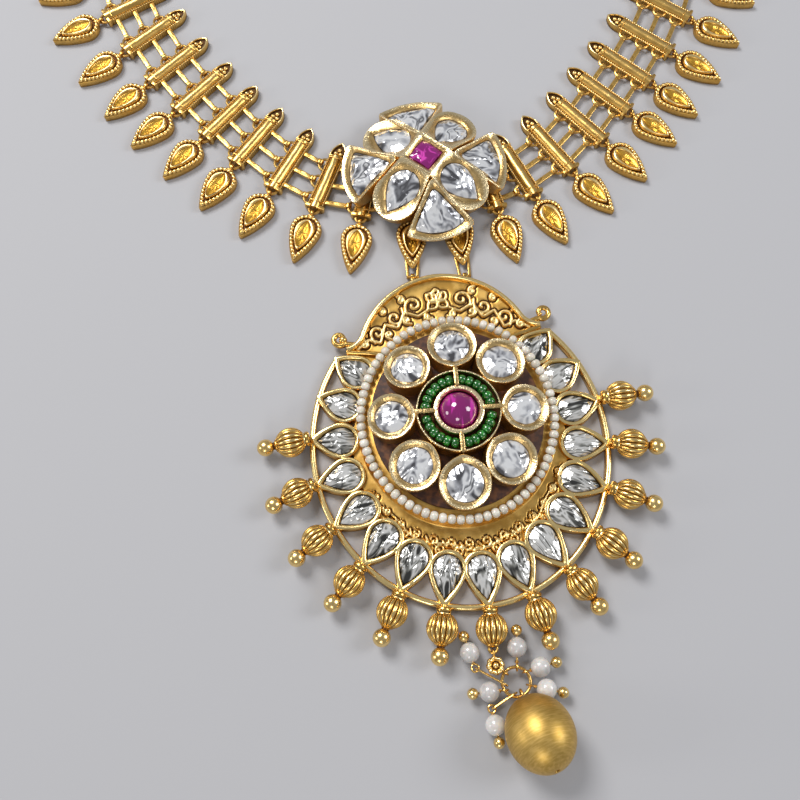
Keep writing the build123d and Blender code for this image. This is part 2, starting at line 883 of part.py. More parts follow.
wire_angles = [frame_angles[0] + frame_step / 2 * i for i in range(2 * frame_count - 1)]
crown_plane = Plane(pendant_plane.location * Location((crown_shift, 0, 0)))
melon_indexes = range(melon_first, frame_count - melon_first)
melon_tilts = (13.4, 11.1, 6.3, 1.1, -0.3, 0.7, -6.0, -5.1, -3.2, -4.4, -2.5, -5.3, -10.7)


def melon_location(index):
    """A melon drop's place: own origin at the frame's tip, own +X along its pin."""
    x, y = ring_point(frame_angles[index])
    spot = turned((x, y), pendant_turn)
    turn = degrees(atan2(y, x)) + pendant_turn + melon_tilts[index - melon_first]
    return Location((spot[0], spot[1], melon_height), (0, 0, turn))


with BuildPart() as pendant_frame:
    with BuildSketch(pendant_plane):
        with BuildLine():
            Polyline(*[ring_point(angle, ring_share) for angle in wire_angles])
        trace(line_width=ring_wire_width)
    extrude(amount=ring_height)
    with BuildSketch(pendant_plane):
        for place, reach in zip(frame_locations, frame_reaches):
            with Locations(place):
                Leaf(frame_radius, reach)
    extrude(amount=frame_height)
    with BuildSketch(pendant_plane):
        Oval(base_half_width, base_half_width * oval)
    extrude(amount=base_height)
    with BuildSketch(crown_plane):
        with BuildLine():
            foot = Line((-crown_foot[0], crown_foot[1] - crown_skirt),
                        (crown_foot[0], crown_foot[1] - crown_skirt))
            lift = Line(foot @ 1, crown_foot)
            flare = ThreePointArc(lift @ 1, crown_flare, crown_shoulder)
            arch = ThreePointArc(flare @ 1, crown_arch, (0, crown_apex))
            mirror(arch, about=Plane.YZ)
            mirror(flare, about=Plane.YZ)
            mirror(lift, about=Plane.YZ)
        make_face()
    extrude(amount=crown_field_height)
    with BuildSketch(crown_plane):
        with BuildLine():
            flare = ThreePointArc(crown_foot, crown_flare, crown_shoulder)
            arch = ThreePointArc(flare @ 1, crown_arch, (0, crown_apex))
            mirror(flare, about=Plane.YZ)
            mirror(arch, about=Plane.YZ)
        trace(line_width=crown_rim_width)
    extrude(amount=crown_rim_height)
    with BuildSketch(crown_plane):
        with BuildLine():
            curl = CenterArc(volute_middle, volute_radius, volute_start, volute_span)
            mirror(curl, about=Plane.YZ)
        trace(line_width=volute_wire)
        with BuildLine():
            stem = Line((volute_middle[0] - volute_stem_inset, volute_middle[1] - volute_radius),
                        volute_root)
            mirror(stem, about=Plane.YZ)
        trace(line_width=ring_wire_width)
    extrude(amount=volute_height)
    with BuildSketch(pendant_plane.offset(base_height - overlap)):
        with Locations((0, flower_rise)):
            Oval(drum_foot, drum_foot * oval)
    with BuildSketch(pendant_plane.offset(drum_height)):
        with Locations((0, flower_rise)):
            Oval(drum_shoulder, drum_shoulder * oval)
    loft()
    with BuildSketch(pendant_plane.offset(frame_floor)):
        for place, reach in zip(frame_locations, frame_reaches):
            with Locations(place):
                Leaf(seat_radius, reach * seat_radius / frame_radius)
    extrude(amount=frame_height, mode=Mode.SUBTRACT)
    with BuildSketch(crown_plane.offset(crown_field_height - overlap)):
        for row in crown_scrolls:
            with Locations(Location((row["x"], row["y"]), row["turn"])):
                Scroll(row["size"])
            with Locations(Location((-row["x"], row["y"]), 180 - row["turn"])):
                Scroll(row["size"])
    extrude(amount=scroll_height + overlap)
    with BuildSketch(pendant_plane.offset(base_height - overlap)):
        for turn in base_scroll_turns:
            x, y = turned((0, -base_scroll_radius), turn)
            with Locations(Location((x, y * oval), turn + 90 * (1 if turn > 0 else -1))):
                Scroll(1.0)
    extrude(amount=scroll_height + overlap)
    for index in melon_indexes:
        with BuildSketch(Plane(melon_location(index) * Plane.YZ.location).offset(-collar_inside)):
            Circle(collar_radius)
            Circle(headpin_hole, mode=Mode.SUBTRACT)
        extrude(amount=collar_inside + collar_outside)
    for index in middle_bars:
        spot = on_bar(bar_places[index], 0, bar_foot - bail_reaches[index])
        with BuildSketch(upright_plane(spot, bail_height, bar_places[index][2] - 90)):
            Circle(lug_radius)
            with Locations((lug_reach / 2, 0)):
                Rectangle(lug_reach, 2 * (bail_height - bail_floor))
            Circle(lug_hole, mode=Mode.SUBTRACT)
        extrude(amount=lug_width / 2, both=True)
pendant_frame.part.label = "pendant_frame"
export_step(pendant_frame.part, "parts/pendant_frame.step")

stone_radius = seat_radius - gap
for number, (place, reach) in enumerate(zip(frame_locations, frame_reaches), start=1):
    corners = leaf_corners(stone_radius, reach * stone_radius / frame_radius)
    plane = Plane((pendant_plane.location * place)).offset(frame_height)
    seat = frame_height - frame_floor - gap
    stone = cut_stone(plane, corners, (0, frame_table_shift), frame_table, seat, frame_girdle,
                      frame_facets)
    stone.part.label = f"frame_stone_{number:02d}"
    export_step(stone.part, f"parts/frame_stone_{number:02d}.step")

# Flower: the whole flower is square to the collar.
flower_middle = turned((0, flower_rise), pendant_turn)
flower_plane = Plane(origin=(flower_middle[0], flower_middle[1], 0))
petals = [
    {"angle": 0, "radius": 4.8, "reach": 5.1},
    {"angle": 45, "radius": 5.0, "reach": 5.2},
    {"angle": 90, "radius": 5.0, "reach": 5.2},
    {"angle": 135, "radius": 4.7, "reach": 4.9},
    {"angle": 180, "radius": 4.7, "reach": 5.0},
    {"angle": 225, "radius": 5.0, "reach": 5.2},
    {"angle": 270, "radius": 5.1, "reach": 5.6},
    {"angle": 315, "radius": 5.1, "reach": 5.3},
]
petal_planes = [
    petal_plane(flower_middle, 0, petal_distance, row["angle"], petal_rim_height, petal_tilt, oval)
    for row in petals
]

with BuildPart() as flower_setting:
    for plane, row in zip(petal_planes, petals):
        with BuildSketch(plane):
            Leaf(row["radius"], row["reach"], rotation=180)
        extrude(amount=-block_depth)
    with BuildSketch(flower_plane.offset(flower_floor)):
        Oval(pearl_ring - pearl_wire - plate_margin, (pearl_ring - plate_margin) * oval - pearl_wire)
    extrude(amount=flower_plate)
    with BuildSketch(flower_plane.offset(flower_floor)):
        Circle(gutter_wall_radius + gutter_wall)
    extrude(amount=gutter_floor - flower_floor)
    with BuildSketch(flower_plane.offset(flower_floor)):
        Circle(gutter_wall_radius + gutter_wall)
        Circle(gutter_wall_radius, mode=Mode.SUBTRACT)
    extrude(amount=gutter_wall_height - flower_floor)
    with BuildSketch(flower_plane.offset(gutter_floor)):
        Circle(gutter_wall_radius)
        Circle(boss_radius, mode=Mode.SUBTRACT)
    extrude(amount=block_depth, mode=Mode.SUBTRACT)
    with BuildSketch(flower_plane.offset(flower_floor)):
        Circle(boss_radius)
    extrude(amount=boss_height - flower_floor)
    claw_floor = green_height + green_wire + gap
    with BuildSketch(flower_plane.offset(claw_floor)):
        with PolarLocations((boss_radius + gutter_wall_radius + gutter_wall) / 2, 4):
            Rectangle(gutter_wall_radius + gutter_wall - boss_radius + 2 * claw_grip, claw_width)
    extrude(amount=claw_height)
    with BuildSketch(flower_plane.offset(flower_floor)):
        with PolarLocations(gutter_wall_radius + gutter_wall / 2, 4):
            Rectangle(gutter_wall, claw_width)
    extrude(amount=claw_floor + claw_height - flower_floor)
    with BuildSketch(flower_plane.offset(boss_height - seat_depth)):
        Circle(cabochon_radius + gap)
    extrude(amount=block_depth, mode=Mode.SUBTRACT)
    for plane, row in zip(petal_planes, petals):
        seat_share = 1 - petal_lip / row["radius"]
        with BuildSketch(plane.offset(-seat_depth)):
            Leaf(row["radius"] * seat_share, row["reach"] * seat_share, rotation=180)
        extrude(amount=2 * seat_depth, mode=Mode.SUBTRACT)
    with BuildSketch(flower_plane.offset(flower_floor)):
        Circle(pendant_half_width)
    extrude(amount=-block_depth, mode=Mode.SUBTRACT)
flower_setting.part.label = "flower_setting"
export_step(flower_setting.part, "parts/flower_setting.step")

for number, (plane, row) in enumerate(zip(petal_planes, petals), start=1):
    share = 1 - (petal_lip + gap) / row["radius"]
    outline = leaf_corners(row["radius"] * share, row["reach"] * share)
    corners = [(-x, -y) for x, y in outline]
    stone = cut_stone(plane, corners, (0, petal_table_shift), table, stone_seat, girdle, facets)
    stone.part.label = f"petal_stone_{number}"
    export_step(stone.part, f"parts/petal_stone_{number}.step")

dome_radius = (cabochon_radius ** 2 + cabochon_rise ** 2) / (2 * cabochon_rise)
cabochon_seat = boss_height - seat_depth + gap
with BuildPart() as cabochon:
    with BuildSketch(Plane(origin=(*flower_middle, cabochon_seat), x_dir=(1, 0, 0),
                           z_dir=(0, -1, 0))):
        with BuildLine():
            Line((0, 0), (cabochon_radius, 0))
            wall = Line((cabochon_radius, 0), (cabochon_radius, cabochon_wall))
            RadiusArc(wall @ 1, (0, cabochon_wall + cabochon_rise), -dome_radius)
            Line((0, cabochon_wall + cabochon_rise), (0, 0))
        make_face()
    revolve(axis=Axis((*flower_middle, 0), (0, 0, 1)))
cabochon.part.label = "cabochon"
export_step(cabochon.part, "parts/cabochon.step")

with BuildPart() as green_bead_string:
    with Locations((*flower_middle, green_height)):
        Torus(green_ring, green_wire)
green_bead_string.part.label = "green_bead_string"
export_step(green_bead_string.part, "parts/green_bead_string.step")

with BuildPart() as pearl_string:
    with BuildLine(flower_plane.offset(pearl_height)) as pearl_path:
        oval_arcs(pearl_ring, pearl_ring * oval)
    with BuildSketch(Plane(origin=pearl_path.wire() @ 0, z_dir=pearl_path.wire() % 0)):
        Circle(pearl_wire)
    sweep(path=pearl_path.wire())
pearl_volume = pi * pearl_wire ** 2 * pearl_path.wire().length
print("pearl string volume", round(pearl_string.part.volume, 2), "expected", round(pearl_volume, 2))
pearl_string.part.label = "pearl_string"
export_step(pearl_string.part, "parts/pearl_string.step")

# Melon drops: own origin at the frame's tip, +X outwards.
melon_end_x = melon_offset + melon_length / 2
with BuildPart() as melon:
    with BuildSketch(Plane.YZ.offset(melon_offset - melon_length / 2)):
        Circle(melon_radius)
        with PolarLocations(melon_radius + melon_groove_shift, melon_ribs):
            Circle(melon_groove, mode=Mode.SUBTRACT)
    extrude(amount=melon_length)
    with BuildSketch(Plane.XY):
        with BuildLine():
            belly = ThreePointArc((melon_offset - melon_length / 2, melon_end),
                                  (melon_offset, melon_radius),
                                  (melon_end_x, melon_end))
            Polyline(belly @ 1, (melon_end_x, 0), (melon_offset - melon_length / 2, 0), belly @ 0)
        make_face()
    revolve(axis=Axis.X, mode=Mode.INTERSECT)
    with BuildSketch(Plane.YZ.offset(-collar_inside - gap - head_length)):
        Circle(head_radius)
    extrude(amount=head_length)
    with BuildSketch(Plane.YZ.offset(-collar_inside - gap - overlap)):
        Circle(headpin_radius)
    extrude(amount=melon_offset)

with BuildPart() as melon_with_ball:
    add(melon.part)
    with BuildSketch(Plane.YZ.offset(melon_end_x - overlap)):
        Circle(neck_radius)
    extrude(amount=end_ball_offset - melon_length / 2)
    with Locations((melon_offset + end_ball_offset, 0, 0)):
        Sphere(end_ball_radius)

with BuildPart() as melon_with_eye:
    add(melon.part)
    with Locations((melon_end_x + melon_eye_offset, 0, 0)):
        Torus(melon_eye_radius, melon_eye_wire)

eye_index = frame_count // 2
with BuildPart() as melon_drops:
    with Locations(*[melon_location(i) for i in melon_indexes if i != eye_index]):
        add(melon_with_ball.part)
    with Locations(melon_location(eye_index)):
        add(melon_with_eye.part)
melon_drops.part.label = "melon_drops"
export_step(melon_drops.part, "parts/melon_drops.step")


def on_pendant(point, height, angle):
    """A place in the pendant's own frame, with its +X turned to the angle."""
    x, y = turned(point, pendant_turn)
    return Location((x, y, height), (0, 0, angle + pendant_turn))


def on_tassel_ring(angle):
    """A point of the tassel ring's wire."""
    x, y = turned((tassel_ring_radius, 0), angle)
    return (tassel_ring_middle[0] + x, tassel_ring_middle[1] + y)


# Tassel rings: the horizontal ring and two upright oval links that hang on it.
far_links = [
    {"angle": 175, "end": (-4.5, -42.75)},
    {"angle": 240, "end": (-2.7, -50.1)},
]
with BuildPart() as tassel_rings:
    with Locations(on_pendant(tassel_ring_middle, tassel_height, 0)):
        Torus(tassel_ring_radius, tassel_ring_wire)
    for row in far_links:
        start = on_tassel_ring(row["angle"])
        distance, angle = heading(start, row["end"])
        near, far = -far_link_slack, distance - pin_eye_radius
        place = Plane(on_pendant(start, tassel_height, angle) * Plane.XZ.location)
        with BuildLine(place) as oval_path:
            lower = Line((near, -pin_eye_radius), (far, -pin_eye_radius))
            CenterArc((far, 0), pin_eye_radius, -90, 180)
            Line((far, pin_eye_radius), (near, pin_eye_radius))
            CenterArc((near, 0), pin_eye_radius, 90, 180)
        with BuildSketch(Plane(origin=oval_path.wire() @ 0, z_dir=oval_path.wire() % 0)):
            Circle(pin_wire)
        sweep(path=oval_path.wire())
tassel_rings.part.label = "tassel_rings"
export_step(tassel_rings.part, "parts/tassel_rings.step")

# Rosette: it joins the lowest melon's eye and the tassel ring.
with BuildPart() as tassel_flower:
    with BuildSketch(Plane(on_pendant(rosette_middle, rosette_floor, 0))):
        Circle(rosette_radius)
        with PolarLocations(rosette_petal_distance, rosette_petals):
            Circle(rosette_petal)
    extrude(amount=rosette_height)
    with Locations(on_pendant(rosette_middle, rosette_floor + rosette_height, 0)):
        Sphere(rosette_petal)
    melon_eye_x = melon_end_x + melon_eye_offset + melon_eye_radius
    melon_eye = melon_location(eye_index) * Location((melon_eye_x, 0, 0))
    upper = (melon_eye.position.X, melon_eye.position.Y)
    lower = turned(on_tassel_ring(rosette_ring_angle), pendant_turn)
    middle = turned(rosette_middle, pendant_turn)
    for spot, height in ((upper, melon_height), (lower, tassel_height)):
        with Locations(upright_plane(spot, height, heading(middle, spot)[1])):
            Torus(pin_eye_radius, pin_wire)
tassel_flower.part.label = "tassel_flower"
export_step(tassel_flower.part, "parts/tassel_flower.step")

# Headpins: each has an eye, a drilled pearl and an end ball.
pins = [
    {"eye": far_links[0]["end"], "heading": 101, "pearl": 2.85, "upright": False},
    {"eye": on_tassel_ring(205), "heading": 178, "pearl": 2.8, "upright": True},
    {"eye": far_links[1]["end"], "heading": -87, "pearl": 2.8, "upright": False},
    {"eye": on_tassel_ring(76.7), "heading": 80, "pearl": 3.5, "upright": True},
    {"eye": on_tassel_ring(35), "heading": 8, "pearl": 2.8, "upright": True},
    {"eye": on_tassel_ring(-22), "heading": -20, "pearl": 3.05, "upright": True},
]


def headpin(row):
    """One pin with its eye at the origin and its ball on +X."""
    with BuildPart() as pin:
        with Locations(Plane.XZ if row["upright"] else Plane.XY):
            Torus(pin_eye_radius, pin_wire)
        with BuildSketch(Plane.YZ.offset(pin_eye_radius)):
            Circle(pin_wire)
        extrude(amount=row["pearl"] + pin_ball_reach - pin_eye_radius)
        with Locations((row["pearl"] + pin_ball_reach, 0, 0)):
            Sphere(pin_ball_radius)
    return on_pendant(row["eye"], tassel_height, row["heading"]) * pin.part


with BuildPart() as tassel_headpins:
    add([headpin(row) for row in pins])
tassel_headpins.part.label = "tassel_headpins"
export_step(tassel_headpins.part, "parts/tassel_headpins.step")

mouth = degrees(asin(pearl_hole / pearl_radius))
with BuildPart() as drilled_pearl:
    with BuildSketch():
        with BuildLine():
            skin = CenterArc((0, 0), pearl_radius, mouth, 180 - 2 * mouth)
            Line(skin @ 1, skin @ 0)
        make_face()
    revolve(axis=Axis.X)

with BuildPart() as tassel_pearls:
    add([on_pendant(row["eye"], tassel_height, row["heading"]) * Location((row["pearl"], 0, 0))
         * drilled_pearl.part for row in pins])
tassel_pearls.part.label = "tassel_pearls"
export_step(tassel_pearls.part, "parts/tassel_pearls.step")

# Matte ball: longer along its pin, which slopes down to a loop on the tassel ring.
hang = on_tassel_ring(matte_hang_angle)
ball_heading = heading(matte_middle, hang)[1]
pitch = radians(matte_pitch)
matte_height = gap + sqrt((matte_half_length * sin(pitch)) ** 2 + (matte_radius * cos(pitch)) ** 2)
with BuildPart() as matte_ball:
    level = on_pendant(matte_middle, matte_height, ball_heading)
    place = level * Location((0, 0, 0), (0, matte_pitch, 0))
    with BuildSketch(Plane(place)):
        with BuildLine():
            shell = EllipticalCenterArc((0, 0), matte_half_length, matte_radius, arc_size=180)
            Line(shell @ 1, shell @ 0)
        make_face()
    revolve(axis=Axis(place.position, Plane(place).x_dir))
    with BuildSketch(Plane(place * Location(drill_mouth, (0, drill_turn, 0)))):
        Circle(drill_radius)
    extrude(amount=-drill_depth, both=True, mode=Mode.SUBTRACT)
    with Locations(Plane(on_pendant(hang, tassel_height, ball_heading) * Plane.XZ.location)):
        Torus(matte_loop_radius, matte_loop_wire)
matte_ball.part.label = "matte_ball"
export_step(matte_ball.part, "parts/matte_ball.step")
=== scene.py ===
import logging
import math
from dataclasses import dataclass, field, replace
from enum import Enum
from typing import Callable, Sequence

import bpy
import numpy as np
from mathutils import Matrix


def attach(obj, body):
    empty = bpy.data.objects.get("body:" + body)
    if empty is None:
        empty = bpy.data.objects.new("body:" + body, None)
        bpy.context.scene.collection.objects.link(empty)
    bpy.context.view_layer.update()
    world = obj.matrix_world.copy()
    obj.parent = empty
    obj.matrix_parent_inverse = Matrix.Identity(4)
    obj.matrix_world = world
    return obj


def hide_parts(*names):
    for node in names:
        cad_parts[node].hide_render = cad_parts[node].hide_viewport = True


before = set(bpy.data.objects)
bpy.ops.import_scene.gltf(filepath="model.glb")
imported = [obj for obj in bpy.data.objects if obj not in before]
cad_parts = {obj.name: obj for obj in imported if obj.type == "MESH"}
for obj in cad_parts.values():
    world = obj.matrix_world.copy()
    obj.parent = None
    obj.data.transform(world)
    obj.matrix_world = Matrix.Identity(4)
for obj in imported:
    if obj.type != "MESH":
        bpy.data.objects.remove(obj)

log = logging.getLogger("kundan_necklace")
Array = np.ndarray
Colour = tuple[float, float, float]
TAU = 2 * math.pi
METRES = 0.001
BEZEL_RAYS = 120


class Slot(Enum):
    """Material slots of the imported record."""

    GOLD = "antique_gold"
    MATTE = "matte_gold"
    CLEAR = "clear_stone"
    PINK = "pink_stone"
    GREEN = "green_bead"
    SEED = "seed_pearl"
    GREY = "grey_pearl"


# Places: 4 x 4 matrices in millimetres.


def place(x: float, y: float, z: float = 0.0, turn: float = 0.0) -> Array:
    """A move to (x, y, z) after a turn about +Z.

    Args:
        x, y, z: where the local origin goes, in millimetres.
        turn: degrees about +Z.

    Returns:
        A 4 x 4 matrix.
    """
    c, s = math.cos(math.radians(turn)), math.sin(math.radians(turn))
    return np.array([[c, -s, 0, x], [s, c, 0, y], [0, 0, 1, z], [0, 0, 0, 1.0]])


def tipped(axis: str, degrees: float) -> Array:
    """A turn about the local X or Y axis, as a 4 x 4 matrix."""
    c, s = math.cos(math.radians(degrees)), math.sin(math.radians(degrees))
    if axis == "x":
        return np.array([[1, 0, 0, 0], [0, c, -s, 0], [0, s, c, 0], [0, 0, 0, 1.0]])
    return np.array([[c, 0, s, 0], [0, 1, 0, 0], [-s, 0, c, 0], [0, 0, 0, 1.0]])


def stretched(x: float, y: float = 1.0, z: float = 1.0) -> Array:
    """A scale along the three axes, as a 4 x 4 matrix."""
    return np.diag([x, y, z, 1.0])


def flat_turn(point: Sequence[float], degrees: float) -> tuple[float, float]:
    """A flat point turned about the origin."""
    c, s = math.cos(math.radians(degrees)), math.sin(math.radians(degrees))
    return (point[0] * c - point[1] * s, point[0] * s + point[1] * c)


def heading(start: Sequence[float], end: Sequence[float]) -> tuple[float, float]:
    """Distance and angle in degrees from one flat point to another."""
    along, across = end[0] - start[0], end[1] - start[1]
    return math.hypot(along, across), math.degrees(math.atan2(across, along))


def petal_place(middle: Sequence[float], distance: float, angle: float, height: float,
                tilt: float, turn: float = 0.0, stretch: float = 1.0) -> Array:
    """The place of a petal's rim: local Y runs outwards from the middle and slopes down.

    Args:
        middle: flat middle of the flower.
        distance: from the middle to the petal.
        angle: direction of the petal in degrees.
        height: of the rim's middle.
        tilt: degrees that the rim slopes down outwards.
        turn: degrees that the whole flower is turned.
        stretch: how much longer the flower is along Y.

    Returns:
        A 4 x 4 matrix.
    """
    flat = (distance * math.cos(math.radians(angle)), stretch * distance * math.sin(math.radians(angle)))
    x, y = flat_turn(flat, turn)
    out = math.atan2(y, x)
    lean = math.radians(tilt)
    across = np.array([math.sin(out), -math.cos(out), 0])
    normal = np.array([math.sin(lean) * math.cos(out), math.sin(lean) * math.sin(out), math.cos(lean)])
    matrix = np.eye(4)
    matrix[:3, 0], matrix[:3, 1], matrix[:3, 2] = across, np.cross(normal, across), normal
    matrix[:3, 3] = (middle[0] + x, middle[1] + y, height)
    return matrix


# Shells: closed faces as whole arrays.


@dataclass
class Shell:
    """A mesh as whole arrays, in millimetres.

    relief is 0 in a hollow, which gets painted shade, and 1 on an edge, which gets a painted highlight; chart holds
    a stone's own x and y and its number.
    """

    points: Array
    quads: Array
    triangles: Array
    relief: Array
    chart: Array

    def at(self, matrix: Array) -> "Shell":
        """The shell moved by a 4 x 4 matrix."""
        return replace(self, points=self.points @ matrix[:3, :3].T + matrix[:3, 3])

    def copies(self, matrices: Sequence[Array]) -> "Shell":
        """One shell that holds a copy at each matrix; each copy's chart counts up.

        Args:
            matrices: the places of the copies.

        Returns:
            The copies in one shell.
        """
        stack = np.asarray(matrices)
        count, size = len(stack), len(self.points)
        points = np.einsum("kij,nj->kni", stack[:, :3, :3], self.points) + stack[:, None, :3, 3]
        steps = np.arange(count)[:, None, None] * size
        chart = np.repeat(self.chart[None], count, axis=0)
        chart[:, :, 2] += np.arange(count)[:, None]
        return Shell(
            points.reshape(-1, 3),
            (self.quads[None] + steps).reshape(-1, 4),
            (self.triangles[None] + steps).reshape(-1, 3),
            np.tile(self.relief, count),
            chart.reshape(-1, 3),
        )

    def outwards(self) -> "Shell":
        """The shell with its faces turned outwards, from the sign of its volume.

        The volume is the sum over triangles of p0 . (p1 x p2) / 6.
        """
        halves = [self.triangles, self.quads[:, [0, 1, 2]], self.quads[:, [0, 2, 3]]]
        a, b, c = (self.points[np.concatenate(halves)[:, k]] for k in range(3))
        if np.einsum("ij,ij->", a, np.cross(b, c)) >= 0:
            return self
        return replace(self, quads=self.quads[:, ::-1], triangles=self.triangles[:, ::-1])


def joined(shells: Sequence[Shell]) -> Shell:
    """Several shells as one, with the numbers of their points shifted."""
    starts = np.cumsum([0] + [len(s.points) for s in shells[:-1]])
    return Shell(
        np.concatenate([s.points for s in shells]),
        np.concatenate([s.quads + n for s, n in zip(shells, starts)]),
        np.concatenate([s.triangles + n for s, n in zip(shells, starts)]),
        np.concatenate([s.relief for s in shells]),
        np.concatenate([s.chart for s in shells]),
    )


def woven(grid: Array, relief: Array | float = 0.6, ring: bool = True, loop: bool = False,
          ends: bool = True, number: float = 0.0) -> Shell:
    """Faces over a grid of points.

    Args:
        grid: points as (rows, columns, 3).
        relief: a value for each point, each row, or all.
        ring: the columns go round and meet.
        loop: the rows go round and meet.
        ends: the first and the last row are closed by a fan to their mean.
        number: the chart's third value.

    Returns:
        The shell, with its faces outwards.
    """
    rows, columns = grid.shape[:2]
    index = np.arange(rows * columns).reshape(rows, columns)
    if ring:
        index = np.concatenate([index, index[:, :1]], axis=1)
    if loop:
        index = np.concatenate([index, index[:1]], axis=0)
    quads = np.stack([index[:-1, :-1], index[:-1, 1:], index[1:, 1:], index[1:, :-1]], axis=-1)
    points = grid.reshape(-1, 3)
    values = np.asarray(relief, float)
    values = values[:, None] if values.ndim == 1 else values
    values = np.broadcast_to(values, (rows, columns)).reshape(-1)
    triangles = np.zeros((0, 3), int)
    if ends and not loop:
        first = np.full(columns, rows * columns)
        second = first + 1
        triangles = np.concatenate([
            np.stack([index[0, 1:], index[0, :-1], first[: index.shape[1] - 1]], axis=-1),
            np.stack([index[-1, :-1], index[-1, 1:], second[: index.shape[1] - 1]], axis=-1),
        ])
        points = np.concatenate([points, grid[0].mean(0)[None], grid[-1].mean(0)[None]])
        values = np.append(values, [values[0], values[-1]])
    chart = np.concatenate([points[:, :2], np.full((len(points), 1), number)], axis=1)
    return Shell(points, quads.reshape(-1, 4), triangles, values, chart).outwards()


def softened(corners: Sequence[Sequence[float]], radius: float, steps: int = 3) -> Array:
    """A closed outline with its corners rounded.

    Each corner becomes the curve (1 - t)^2 a + 2 t (1 - t) p + t^2 b between two points near it.

    Args:
        corners: the outline's corners.
        radius: how far from a corner the curve starts.
        steps: spans of each curve.

    Returns:
        Points as (count, 2).
    """
    p = np.asarray(corners, float)
    before, after = np.roll(p, 1, axis=0) - p, np.roll(p, -1, axis=0) - p
    near = [v / np.linalg.norm(v, axis=1, keepdims=True)
            * np.minimum(radius, 0.45 * np.linalg.norm(v, axis=1, keepdims=True))
            for v in (before, after)]
    t = np.linspace(0, 1, steps + 1)[None, :, None]
    curve = (1 - t) ** 2 * (p + near[0])[:, None] + 2 * t * (1 - t) * p[:, None]
    return (curve + t ** 2 * (p + near[1])[:, None]).reshape(-1, 2)


def swept(path: Array, profile: Array, loop: bool = False) -> Array:
    """A profile carried along a path.

    Point (s, v) is path(s) + across(s) x(v) + rise(s) y(v), with rise nearest to +Z. At a corner, across is mitred:
    it is the sum of the two runs' sideways directions over 1 + their dot product.

    Args:
        path: points as (count, 3).
        profile: points as (size, 2), or (count, size, 2) where it changes along the path.
        loop: the path is closed.

    Returns:
        Points as (count, size, 3).
    """
    steps = np.roll(path, -1, axis=0) - path
    if not loop:
        steps[-1] = steps[-2]
    steps /= np.linalg.norm(steps, axis=1, keepdims=True)
    side = np.cross(steps, (0, 0, 1))
    side /= np.linalg.norm(side, axis=1, keepdims=True)
    last = np.roll(side, 1, axis=0)
    if not loop:
        last[0] = side[0]
    across = (side + last) / (1 + np.einsum("ij,ij->i", side, last))[:, None].clip(0.3)
    profile = np.broadcast_to(profile, (len(path),) + profile.shape[-2:])
    rise = np.cross(across / np.linalg.norm(across, axis=1, keepdims=True), steps)
    return path[:, None] + across[:, None] * profile[..., :1] + rise[:, None] * profile[..., 1:]


def circle(radius: float, count: int) -> Array:
    """Points round a circle about the origin."""
    t = np.arange(count) / count * TAU
    return radius * np.stack([np.cos(t), np.sin(t)], axis=1)


def flat(points: Array, z: float | Array = 0.0) -> Array:
    """Flat points lifted to a height."""
    return np.concatenate([points, np.broadcast_to(z, points.shape[:-1])[..., None]], axis=-1)


def wire(path: Array, radius: float | Array, sides: int = 10, loop: bool = False) -> Shell:
    """A round wire along a path; its radius may change along it."""
    scale = np.broadcast_to(radius, (len(path),))[:, None, None]
    return woven(swept(path, scale * circle(1.0, sides), loop), 0.7, loop=loop)


def torus(radius: float, thickness: float, count: int = 20, sides: int = 8) -> Shell:
    """A wire ring that lies flat about the origin."""
    return wire(flat(circle(radius, count)), thickness, sides, loop=True)


def sleeve(inner: float, outer: float, half_width: float, count: int = 14) -> Shell:
    """A short tube about local Z: a rounded rectangle turned round the axis."""
    corners = [(inner, -half_width), (outer, -half_width), (outer, half_width), (inner, half_width)]
    edge = softened(corners, 0.3 * (outer - inner), 2)
    t = (np.arange(count) / count * TAU)[:, None]
    grid = np.stack([np.cos(t) * edge[:, 0], np.sin(t) * edge[:, 0], 0 * t + edge[:, 1]], axis=-1)
    return woven(grid, 0.65, loop=True)


def pillow(length: float, width: float, height: float, sharpness: float = 0.35,
           rows: int = 7, columns: int = 16, relief: float = 0.7) -> Shell:
    """A rounded block: x = a C(u) C(v), y = b C(u) S(v), z = c S(u), with C and S powers of cosine and sine.

    Args:
        length, width, height: the block's full size.
        sharpness: the power, 1 for an ellipsoid and near 0 for a box.
        rows, columns: spans from pole to pole and around.
        relief: the relief value of the faces; low values get painted shade and high values a painted highlight.

    Returns:
        The block about the origin.
    """
    u = (np.linspace(-0.5, 0.5, rows) * math.pi * 0.97)[:, None]
    v = (np.arange(columns) / columns * TAU)[None]
    power = lambda value: np.sign(value) * np.abs(value) ** sharpness
    grid = np.stack([
        length / 2 * power(np.cos(u)) * power(np.cos(v)),
        width / 2 * power(np.cos(u)) * power(np.sin(v)),
        height / 2 * power(np.sin(u)) + 0 * v,
    ], axis=-1)
    return woven(grid, relief)


def spun(profile: Sequence[Sequence[float]], count: int = 24, relief: Array | float = 0.6) -> Shell:
    """A profile of (x, radius) pairs turned round local X and closed at both ends."""
    edge = np.asarray(profile, float)
    t = (np.arange(count) / count * TAU)[None]
    grid = np.stack([edge[:, :1] + 0 * t, edge[:, 1:] * np.cos(t), edge[:, 1:] * np.sin(t)], axis=-1)
    return woven(grid, relief)


def ball(radius: float, rows: int = 11, columns: int = 16, relief: float = 0.75) -> Shell:
    """A ball: a half circle of (x, radius) turned round X, with closed poles."""
    t = np.linspace(0.03, 0.97, rows) * math.pi
    return spun(np.stack([-radius * np.cos(t), radius * np.sin(t)], axis=1), columns, relief)


